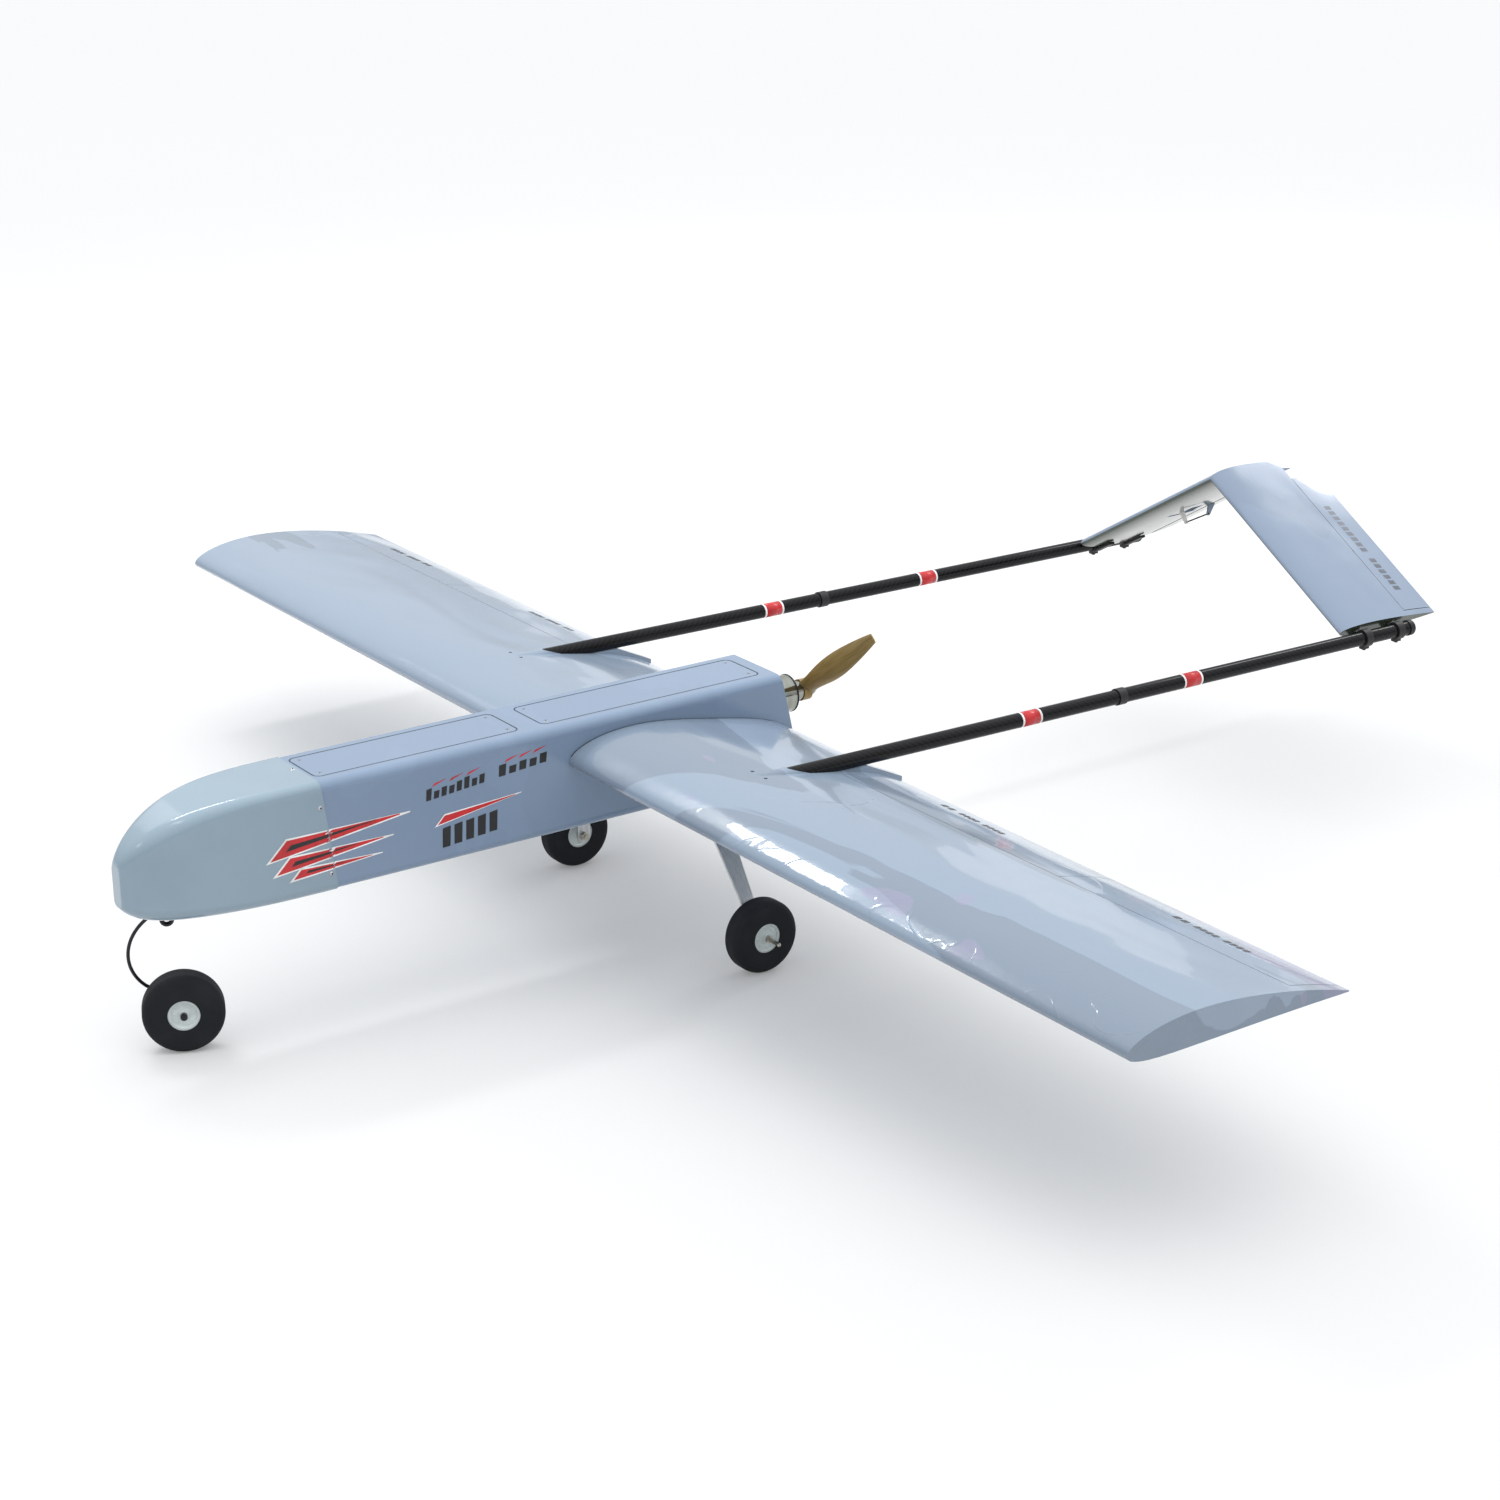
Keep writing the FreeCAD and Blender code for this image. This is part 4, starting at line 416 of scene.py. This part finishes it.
looks = {
    "wing_film": film_look("wing_film", (0.236, 0.300, 0.386), 0.007, 3.4, 0.78),
    "fuselage_film": film_look("fuselage_film", (0.192, 0.265, 0.378), 0.0012, 3.5, 0.965, None, 0.0),
    "nose_gloss": paint_look("nose_gloss", (0.228, 0.315, 0.385)),
    "screw_steel": metal_look("screw_steel", (0.62, 0.62, 0.64), 0.28),
    "plywood": wood_look("plywood", (0.60, 0.44, 0.26), (0.40, 0.26, 0.13), (0, 0, math.pi / 2)),
    "battery_wrap": plastic_look("battery_wrap", (0.03, 0.07, 0.22), 0.35),
    "black_plastic": plastic_look("black_plastic", (0.008, 0.008, 0.009), 0.5),
    "servo_plastic": plastic_look("servo_plastic", (0.02, 0.02, 0.024), 0.4),
    "aluminium_tube": metal_look("aluminium_tube", (0.7, 0.7, 0.72), 0.3, (0.05, 1, 1)),
    "gear_aluminium": metal_look("gear_aluminium", (0.66, 0.67, 0.68), 0.38, (0.3, 1, 0.08), 500),
    "black_steel": metal_look("black_steel", (0.05, 0.05, 0.055), 0.45),
    "axle_steel": metal_look("axle_steel", (0.55, 0.52, 0.45), 0.3),
    "stator_metal": metal_look("stator_metal", (0.16, 0.16, 0.17), 0.45),
    "carbon": carbon_look("carbon", BOOM_X, BOOM_FRONT.z - boom_slope * BOOM_FRONT.y, boom_slope),
    "spring_wire": metal_look("spring_wire", (0.045, 0.045, 0.05), 0.4),
    "white_nylon": plastic_look("white_nylon", (0.78, 0.78, 0.74), 0.45),
    "foam_tyre": foam_look("foam_tyre", (0.011, 0.0125, 0.015)),
    "hub_nylon": plastic_look("hub_nylon", (0.60, 0.655, 0.645), 0.42, 300),
    "motor_metal": metal_look("motor_metal", (0.35, 0.365, 0.325), 0.05, (0.1, 1, 0.1), 200),
    "propeller_wood": wood_look("propeller_wood", (0.345, 0.235, 0.085), (0.225, 0.145, 0.042),
                                (0, PROPELLER_TURN, 0), 160, 0.15),
    "rod_steel": metal_look("rod_steel", (0.55, 0.55, 0.56), 0.25),
}
# the last colour is for faces that look down: painted shade, with an olive tint
tail_film = film_look("tail_film", (0.20, 0.258, 0.35), 0.003, 4.0, 0.93, (0.045, 0.060, 0.042), 0.0)
TAIL_NODES = [side + part for side in ("left_", "right_") for part in ("tail_panel", "ruddervator")]
dark_rod = metal_look("dark_rod", (0.035, 0.035, 0.04), 0.4)
for entry in frame["record"]["subparts"]:
    mesh = nodes[entry["node"]].data
    mesh.materials.clear()
    mesh.materials.append(looks[entry["material_slot"]])
for node in TAIL_NODES:
    nodes[node].data.materials[0] = tail_film
for node in ("left_tail_push_rod", "right_tail_push_rod"):
    nodes[node].data.materials[0] = dark_rod

red = plastic_look("band_red", (0.55, 0.02, 0.025), 0.25)
white = plastic_look("band_white", (0.85, 0.85, 0.85), 0.3)
# decal ink for the print, and also the painted shade of the boom's screw holes
ink_and_hole_shade = plastic_look("decal_ink_and_hole_shade", (0.012, 0.012, 0.014), 0.3)
slate = plastic_look("decal_slate", (0.055, 0.07, 0.10), 0.3)
seam = plastic_look("seam_shade", (0.03, 0.042, 0.06), 0.5)


# ---------------------------------------------------------------- boom bands

def boom_point(side, y):
    """The point of a boom's axis at the given y."""
    along = (y - BOOM_FRONT.y) / (BOOM_REAR.y - BOOM_FRONT.y)
    point = BOOM_FRONT.lerp(BOOM_REAR, along)
    return Vector((side * point.x, point.y, point.z))


BAND_STARTS = (0.1655, 0.4205)
BAND_LENGTH = 0.0298
BAND_EDGE = 0.0028
TAPE_GAP = 0.00002                      # the tape's underside and its skin, above the tube's surface
TAPE_SKIN = 0.00018


def bands():
    """Two red bands with white edges on each boom, as wraps of tape."""
    under, skin = BOOM_RADIUS + TAPE_GAP, BOOM_RADIUS + TAPE_SKIN
    for word, side in SIDES:
        along = boom_point(side, 1) - boom_point(side, 0)
        for number, start in enumerate(BAND_STARTS):
            stripes = ((0, BAND_EDGE, white), (BAND_EDGE, BAND_LENGTH - BAND_EDGE, red),
                       (BAND_LENGTH - BAND_EDGE, BAND_LENGTH, white))
            for part, (low, high, material) in enumerate(stripes):
                first = boom_point(side, start + low)
                length = high - low
                profile = [(0, under), (0, skin), (length, skin), (length, under)]
                points, faces = turned(first, along, profile, 64)
                mesh_piece("%s_band_%d_%d" % (word, number + 1, part + 1), points, faces,
                           "airframe", material, "carbon")


bands()


# ---------------------------------------------------------------- markings
# Plain stripes and bars, in the places and colours of the reference's markings.

FLANK_START = 0.09                      # outside the fuselage, where rays start towards the flank
POINT_SHARE = 0.06                      # a stripe's rear end, as a share of its front end
DECAL_LIFT = 0.0002                     # the lowest layer of ink above the skin
LAYER = 0.0001                          # each further layer


def wedge(name, nose, tail, half, material, lift, side, target):
    """A stripe that starts with a slanted end and runs back to a point."""
    x = side * FLANK_START
    (ny, nz), (ty, tz) = nose, tail
    point = half * POINT_SHARE
    corners = [(x, ny - half, nz - half), (x, ty, tz - point), (x, ty, tz + point), (x, ny + half, nz + half)]
    return draped(name, corners, target, (-side, 0, 0), "airframe", material, "fuselage_film", lift, (40, 4))


STRIPES = (                             # front end, rear point, half height
    ((-0.705, 0.2265), (-0.553, 0.2365), 0.0105),
    ((-0.700, 0.2070), (-0.575, 0.2140), 0.0085),
    ((-0.684, 0.1940), (-0.590, 0.1960), 0.0050))
STRIPE_RIM = 0.0022
WORDS = ((-0.519, -0.440, 8, 0.2435), (-0.424, -0.356, 5, 0.2520))      # front, rear, blocks, foot height
WORD_HEIGHTS = (0.0145, 0.0095, 0.0115, 0.0100, 0.0125)
TONGUES = 3                             # small red tongues over each word
TONGUE_RISE = 0.0165
NUMBER = (-0.5005, -0.4235, 5, 0.1830)
NUMBER_HEIGHT = 0.0250
SWOOSH = (                              # name, front end, rear point, half height, look, lift
    ("_swoosh_edge", (-0.503, 0.2165), (-0.395, 0.2275), 0.0066, white, DECAL_LIFT),
    ("_swoosh", (-0.501, 0.2165), (-0.403, 0.2265), 0.0049, red, DECAL_LIFT + LAYER))
FLANK_RISE = 0.0875                     # how far the rows climb for each metre towards the tail
BLOCK_FILL = 0.66


def block_row(name, front, rear, count, foot, heights, material, target, side):
    """A row of plain slanted blocks on the flank, as one piece."""
    pitch = (rear - front) / count
    x = side * FLANK_START
    parts = []
    for number in range(count):
        y = front + pitch * number
        z = foot + (y - front) * FLANK_RISE
        height = heights[number % len(heights)]
        wide = pitch * BLOCK_FILL
        corners = [(x, y, z), (x, y + wide, z + 0.0004), (x, y + wide + 0.0015, z + height),
                   (x, y + 0.0010, z + height * 0.94)]
        parts.append(dropped(name, corners, target, (-side, 0, 0), DECAL_LIFT, (4, 3)))
    joined(name, parts, "airframe", material, "fuselage_film")


def flank_markings(side):
    word = "left" if side > 0 else "right"
    target = surface_of("fuselage_shell", "nose_cone")
    for number, (nose, tail, half) in enumerate(STRIPES):
        wedge("%s_stripe_edge_%d" % (word, number + 1), (nose[0] - STRIPE_RIM * 1.4, nose[1]),
              (tail[0] + STRIPE_RIM * 6, tail[1]), half + STRIPE_RIM, white, DECAL_LIFT, side, target)
        wedge("%s_stripe_%d" % (word, number + 1), nose, tail, half, red, DECAL_LIFT + LAYER, side, target)
        wedge("%s_stripe_core_%d" % (word, number + 1), (nose[0] + 0.012, nose[1] + 0.001),
              (tail[0] - 0.03, tail[1]), half * 0.32, ink_and_hole_shade, DECAL_LIFT + 2 * LAYER, side, target)
    for number, (front, rear, count, foot) in enumerate(WORDS):
        block_row("%s_word_%d" % (word, number + 1), front, rear, count, foot, WORD_HEIGHTS,
                  ink_and_hole_shade, target, side)
        for tongue in range(TONGUES):
            y = front + 0.010 + (rear - front - 0.012) * tongue / TONGUES
            z = foot + TONGUE_RISE + (y - front) * FLANK_RISE
            wedge("%s_tongue_%d_%d" % (word, number + 1, tongue + 1), (y, z), (y + 0.017, z + 0.0045), 0.0019,
                  red, DECAL_LIFT, side, target)
    block_row(word + "_number", *NUMBER, (NUMBER_HEIGHT,), ink_and_hole_shade, target, side)
    for name, nose, tail, half, material, lift in SWOOSH:
        wedge(word + name, nose, tail, half, material, lift, side, target)


FLAP_MARKS = ((0.395, 0.419, 2), (0.427, 0.461, 4), (0.469, 0.505, 4))     # inner, outer, blocks
AILERON_MARKS = ((0.779, 0.803, 2), (0.811, 0.847, 4), (0.855, 0.893, 4))
TAIL_MARKS = ((0.078, 0.157, 9), (0.166, 0.220, 6))
MARK_DEPTH = 0.0085
TAIL_MARK_DEPTH = 0.0105
MARK_LIFT = 0.00025
FLAP_MARK_Y = -0.0520                   # front edge of each row
AILERON_MARK_Y = -0.0480
TAIL_MARK_AHEAD = 0.006                 # the row's middle, ahead of the ruddervator's
SKY = 0.6                               # above everything, where rays start downwards


def mark_row(node, groups, behind, depth, side, material):
    """Groups of plain blocks on a surface's upper skin, as one piece."""
    target = surface_of(node)
    name = node + "_marks"
    parts = []
    for inner, outer, count in groups:
        pitch = (outer - inner) / count
        for number in range(count):
            start = inner + pitch * number
            stop = start + pitch * BLOCK_FILL
            corners = [(side * start, behind, SKY), (side * stop, behind, SKY),
                       (side * stop, behind + depth, SKY), (side * start, behind + depth, SKY)]
            parts.append(dropped(name, corners, target, (0, 0, -1), MARK_LIFT, (3, 3)))
    joined(name, parts, body_of(node), material, "wing_film")


def surface_markings(word, side):
    """Rows of small blocks near the trailing edges."""
    mark_row(word + "_flap", FLAP_MARKS, FLAP_MARK_Y, MARK_DEPTH, side, ink_and_hole_shade)
    mark_row(word + "_aileron", AILERON_MARKS, AILERON_MARK_Y, MARK_DEPTH, side, ink_and_hole_shade)
    low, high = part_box(word + "_ruddervator")
    middle = (low.y + high.y) / 2 - TAIL_MARK_AHEAD
    mark_row(word + "_ruddervator", TAIL_MARKS, middle - TAIL_MARK_DEPTH / 2, TAIL_MARK_DEPTH, side, slate)


SEAM = 0.0013                           # width of the shaded edge
SEAM_LAP = 0.0001                       # how far it starts inside the opening's edge
SEAM_LIFT = 0.00015
ROOT_SEAM_LIFT = 0.0002
HATCH_GAP = 0.0005
HATCH_CORNER = 0.008
CORNER_STEPS = 8
NOSE_SEAM_STEPS = 8
WING_SEAM_STEPS = 46


def ribbon(name, rails, body, material, slot):
    """A strip through pairs of points, left rail and right rail."""
    points = [point for pair in rails for point in pair]
    faces = [(2 * k, 2 * k + 1, 2 * k + 3, 2 * k + 2) for k in range(len(rails) - 1)]
    return mesh_piece(name, points, faces, body, material, slot)


def hatch_seams():
    """The shaded edge of each hatch's opening, one closed strip with round corners."""
    for node in ("front_hatch", "rear_hatch"):
        low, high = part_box(node)
        middle = (low + high) / 2
        corner = HATCH_CORNER
        half_x, half_y = high.x - middle.x + HATCH_GAP - corner, high.y - middle.y + HATCH_GAP - corner
        rails = []
        for quarter, (sx, sy) in enumerate(((1, 1), (-1, 1), (-1, -1), (1, -1))):
            for step in range(CORNER_STEPS + 1):
                angle = math.pi / 2 * (quarter + step / CORNER_STEPS)
                way = Vector((math.cos(angle), math.sin(angle), 0))
                spot = Vector((middle.x + sx * half_x, middle.y + sy * half_y, high.z + SEAM_LIFT))
                rails.append((spot + way * (corner - SEAM_LAP), spot + way * (corner + SEAM)))
        rails.append(rails[0])
        ribbon(node + "_seam", rails, "airframe", seam, "fuselage_film")


def root_seams():
    """The shaded joint where each wing panel meets the fuselage, from below its nose to near its tail."""
    for word, side in SIDES:
        low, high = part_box(word + "_wing_panel")
        target = surface_of(word + "_wing_panel")
        root = min(abs(low.x), abs(high.x)) + 0.0002
        near, far = side * root, side * (root + SEAM)
        nose_z = low.z + (high.z - low.z) * 0.35
        rays = []
        for step in range(NOSE_SEAM_STEPS):
            z = nose_z - 0.014 + 0.002 * step
            rays.append((Vector((0, low.y - 0.1, z)), Vector((0, 1, 0))))
        for step in range(WING_SEAM_STEPS):
            part = (step + 1) / WING_SEAM_STEPS
            y = low.y + 0.0025 + (high.y - low.y) * 0.9 * part ** 2
            rays.append((Vector((0, y, high.z + 0.1)), Vector((0, 0, -1))))
        rails = []
        for start, way in rays:
            pair = []
            for x in (near, far):
                hit, normal = first_hit(target, start + Vector((x, 0, 0)), way)
                if hit is None:
                    break
                if normal.dot(way) > 0:
                    normal = -normal
                pair.append(hit + normal * ROOT_SEAM_LIFT)
            if len(pair) == 2:
                rails.append(tuple(pair))
        ribbon(word + "_root_seam", rails, "airframe", seam, "wing_film")


HOLE_RADIUS = 0.0019
HOLE_SIDES = 16
HOLE_LIFT = 0.0002


def boom_holes():
    """The shaded screw holes in the wing, ahead of each boom."""
    number = 0
    for low, high in loose_parts("boom_screws"):
        if low.y > 0:
            continue
        middle = (low + high) / 2
        side = 1 if middle.x > 0 else -1
        word = "left" if side > 0 else "right"
        target = surface_of(word + "_wing_panel", "boom_screws")
        points = []
        for step in range(HOLE_SIDES):
            angle = 2 * math.pi * step / HOLE_SIDES
            start = middle + Vector((math.cos(angle), math.sin(angle), 0)) * HOLE_RADIUS
            start.z = SKY
            hit, _ = first_hit(target, start, Vector((0, 0, -1)))
            points.append(hit + Vector((0, 0, HOLE_LIFT)))
        number += 1
        # each hole is a dark disc over the screw: painted shade
        mesh_piece("boom_hole_%d" % number, points, [tuple(range(HOLE_SIDES))],
                   "airframe", ink_and_hole_shade, "wing_film", smooth=False)


hatch_seams()
root_seams()
boom_holes()

for word, side in SIDES:
    flank_markings(side)
    surface_markings(word, side)


# ---------------------------------------------------------------- small fittings

def dome(centre, direction, radius, height, segments=12):
    """Points and faces of a low dome."""
    rows = [(0, radius), (height * 0.6, radius * 0.8), (height * 0.92, radius * 0.4), (height, radius * 0.03)]
    return turned(centre, direction, rows, segments)


STUD_CIRCLE = 0.0113
STUD_COUNT = 8
STUD_RADIUS = 0.0017
STUD_HEIGHT = 0.0007
HUB_FACE = 0.011                        # from the wheel's middle to either side of its hub


def wheel_studs(name, centre, axle, body):
    """A ring of small studs on both faces of a wheel's hub."""
    first, second = frame_along(axle)
    parts = []
    for way in (1, -1):
        for step in range(STUD_COUNT):
            angle = 2 * math.pi * step / STUD_COUNT
            spot = (Vector(centre) + Vector(axle) * way * HUB_FACE
                    + (first * math.cos(angle) + second * math.sin(angle)) * STUD_CIRCLE)
            parts.append(dome(spot, Vector(axle) * way, STUD_RADIUS, STUD_HEIGHT))
    joined(name + "_studs", parts, body, looks["hub_nylon"], "hub_nylon")


def joint_named(name):
    """A joint's place and axis."""
    for joint in frame["joints"]:
        if joint["name"] == name:
            return Vector(joint["pos_m"]), Vector(joint["axis"])
    raise KeyError(name)


for wheel, joint, body in (("left_main", "left_wheel_spin", "left_main_wheel"),
                           ("right_main", "right_wheel_spin", "right_main_wheel"),
                           ("nose", "nose_wheel_spin", "nose_wheel")):
    place, axle = joint_named(joint)
    wheel_studs(wheel, place, axle, body)


SOCKET_RADIUS = 0.0011
SOCKET_SUNK = 0.00012                   # below the dome's crown, so that only its rim shows


def screw_sockets(node, body):
    """A dark six-sided socket in each dome head, coloured black as painted shade in the recess."""
    parts = []
    for low, high in loose_parts(node):
        size = high - low
        middle = (low + high) / 2
        if size.z >= size.x:
            spot, way = Vector((middle.x, middle.y, high.z - SOCKET_SUNK)), Vector((0, 0, 1))
        else:
            side = 1 if middle.x > 0 else -1
            spot, way = Vector((high.x if side > 0 else low.x, middle.y, middle.z)), Vector((side, 0, 0))
            spot.x -= side * SOCKET_SUNK
        # the black socket stands in for the shade inside the recess: painted shade
        profile = [(0, SOCKET_RADIUS), (0.00022, SOCKET_RADIUS), (0.0001, 0.00002)]
        parts.append(turned(spot, way, profile, 6))
    joined(node + "_sockets", parts, body, looks["black_steel"], "screw_steel")


screw_sockets("cover_screws", "airframe")
screw_sockets("front_hatch_screws", "hatch_lid")


def motor_ring():
    """The dark ring at the bell's rear edge."""
    bell_low, bell_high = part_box("motor_bell")
    centre = Vector(((bell_low.x + bell_high.x) / 2, bell_high.y, (bell_low.z + bell_high.z) / 2))
    radius = (bell_high.x - bell_low.x) / 2
    profile = [(-0.0022, radius - 0.0005), (-0.0022, radius + 0.0005), (-0.0004, radius + 0.0005),
               (0.0001, radius + 0.0001), (0.0001, radius - 0.003)]
    points, faces = turned(centre, (0, 1, 0), profile, 96)
    mesh_piece("motor_rear_ring", points, faces, "rotor", looks["black_steel"], "black_steel")


motor_ring()


# ---------------------------------------------------------------- studio

FLOOR_TONE = 0.64
FLOOR_DROP = 0.0002                     # below the tyres, so that the two don't share a plane


def floor():
    bpy.ops.mesh.primitive_plane_add(size=60, location=(0, 0, -FLOOR_DROP))
    ground = bpy.context.object
    ground.name = "floor"
    look = Look("floor", (FLOOR_TONE,) * 3, 0.9, specular=0.0)
    ground.data.materials.append(look.material)


def area_light(name, place, target, size, power):
    data = bpy.data.lights.new(name, "AREA")
    data.shape = "RECTANGLE"
    data.size, data.size_y = size
    data.energy = power
    light = bpy.data.objects.new(name, data)
    bpy.context.scene.collection.objects.link(light)
    light.location = place
    light.rotation_mode = "QUATERNION"
    light.rotation_quaternion = (Vector(target) - Vector(place)).to_track_quat("-Z", "Y")
    light.visible_camera = False


HORIZON = 0.45                          # the sky's strength at the horizon and below, and overhead
ZENITH = 1.5
SUN_STRENGTH = 1.2
SUN_ANGLE = math.radians(60)
SUN_TURN = (math.radians(-12), math.radians(8), 0)
CARD_RADIANCE = 4.0                     # area light power per square metre for a radiance of 1
CARD_TARGET = (0, 0.1, 0.27)
CARDS = (                               # low cards for the wing's gloss: place, size, radiance
    ((-3.9, 1.35, 1.15), (1.1, 0.8), 0.05), ((-3.5, 2.55, 1.0), (0.9, 1.0), 0.3),
    ((-2.7, 3.3, 1.25), (0.6, 0.8), 0.45), ((-2.0, 4.1, 1.1), (1.0, 0.9), 0.35),
    ((-4.5, 0.2, 1.3), (0.8, 0.9), 0.2))
BOXES = (                               # high lights: place, target, size, radiance
    ((-1.86, -0.5, 2.55), (0.35, -0.28, 0.28), (1.2, 0.26), 14.0),
    ((-0.77, 3.3, 2.45), (0.27, 0.8, 0.27), (0.35, 1.5), 9.0),
    ((-3.4, -0.9, 2.4), (-0.5, -0.28, 0.28), (1.4, 0.5), 0.5),
    ((0.0, -1.8, 3.2), (0, -0.8, 0.25), (1.0, 0.22), 2.8),
    ((-0.6, -3.0, 2.2), (0, -0.85, 0.25), (0.7, 0.25), 2.0))


def studio():
    """A pale sky that is brighter overhead, a wide shadowless sun, and lights for the gloss to mirror."""
    world = bpy.data.worlds.new("studio")
    world.use_nodes = True
    tree = world.node_tree
    background = tree.nodes["Background"]
    background.inputs["Color"].default_value = (0.97, 0.985, 1.0, 1)
    split = tree.nodes.new("ShaderNodeSeparateXYZ")
    tree.links.new(tree.nodes.new("ShaderNodeTexCoord").outputs["Generated"], split.inputs["Vector"])
    rise = tree.nodes.new("ShaderNodeMapRange")
    rise.inputs["To Min"].default_value = HORIZON
    rise.inputs["To Max"].default_value = ZENITH
    tree.links.new(split.outputs["Z"], rise.inputs["Value"])
    tree.links.new(rise.outputs["Result"], background.inputs["Strength"])
    bpy.context.scene.world = world

    sun = bpy.data.lights.new("sun", "SUN")
    sun.energy = SUN_STRENGTH
    sun.angle = SUN_ANGLE
    lamp = bpy.data.objects.new("sun", sun)
    bpy.context.scene.collection.objects.link(lamp)
    lamp.rotation_euler = SUN_TURN
    sun.use_shadow = False
    lamp.visible_glossy = False

    lit = list(BOXES) + [(place, CARD_TARGET, size, radiance) for place, size, radiance in CARDS]
    for number, (place, target, size, radiance) in enumerate(lit):
        power = radiance * size[0] * size[1] * CARD_RADIANCE
        area_light("card_%d" % (number + 1), place, target, size, power)


CAMERA_PLACE = Vector((3.08707, -2.157107, 1.548399))
CAMERA_RIGHT = Vector((0.56891, 0.822331, -0.010298))
CAMERA_UP = Vector((-0.27580, 0.202572, 0.939632))
LENS = 78.2
SENSOR = 36


def camera():
    """The reference's viewing angle, solved from the aeroplane's straight lines."""
    data = bpy.data.cameras.new("camera")
    data.lens = LENS
    data.sensor_width = SENSOR
    data.clip_end = 100
    eye = bpy.data.objects.new("camera", data)
    bpy.context.scene.collection.objects.link(eye)
    back = CAMERA_RIGHT.cross(CAMERA_UP)
    turn = Matrix((CAMERA_RIGHT, CAMERA_UP, back)).transposed().to_4x4()
    eye.matrix_world = Matrix.Translation(CAMERA_PLACE) @ turn
    bpy.context.scene.camera = eye


floor()
studio()
camera()
bpy.context.scene.view_settings.view_transform = "Standard"
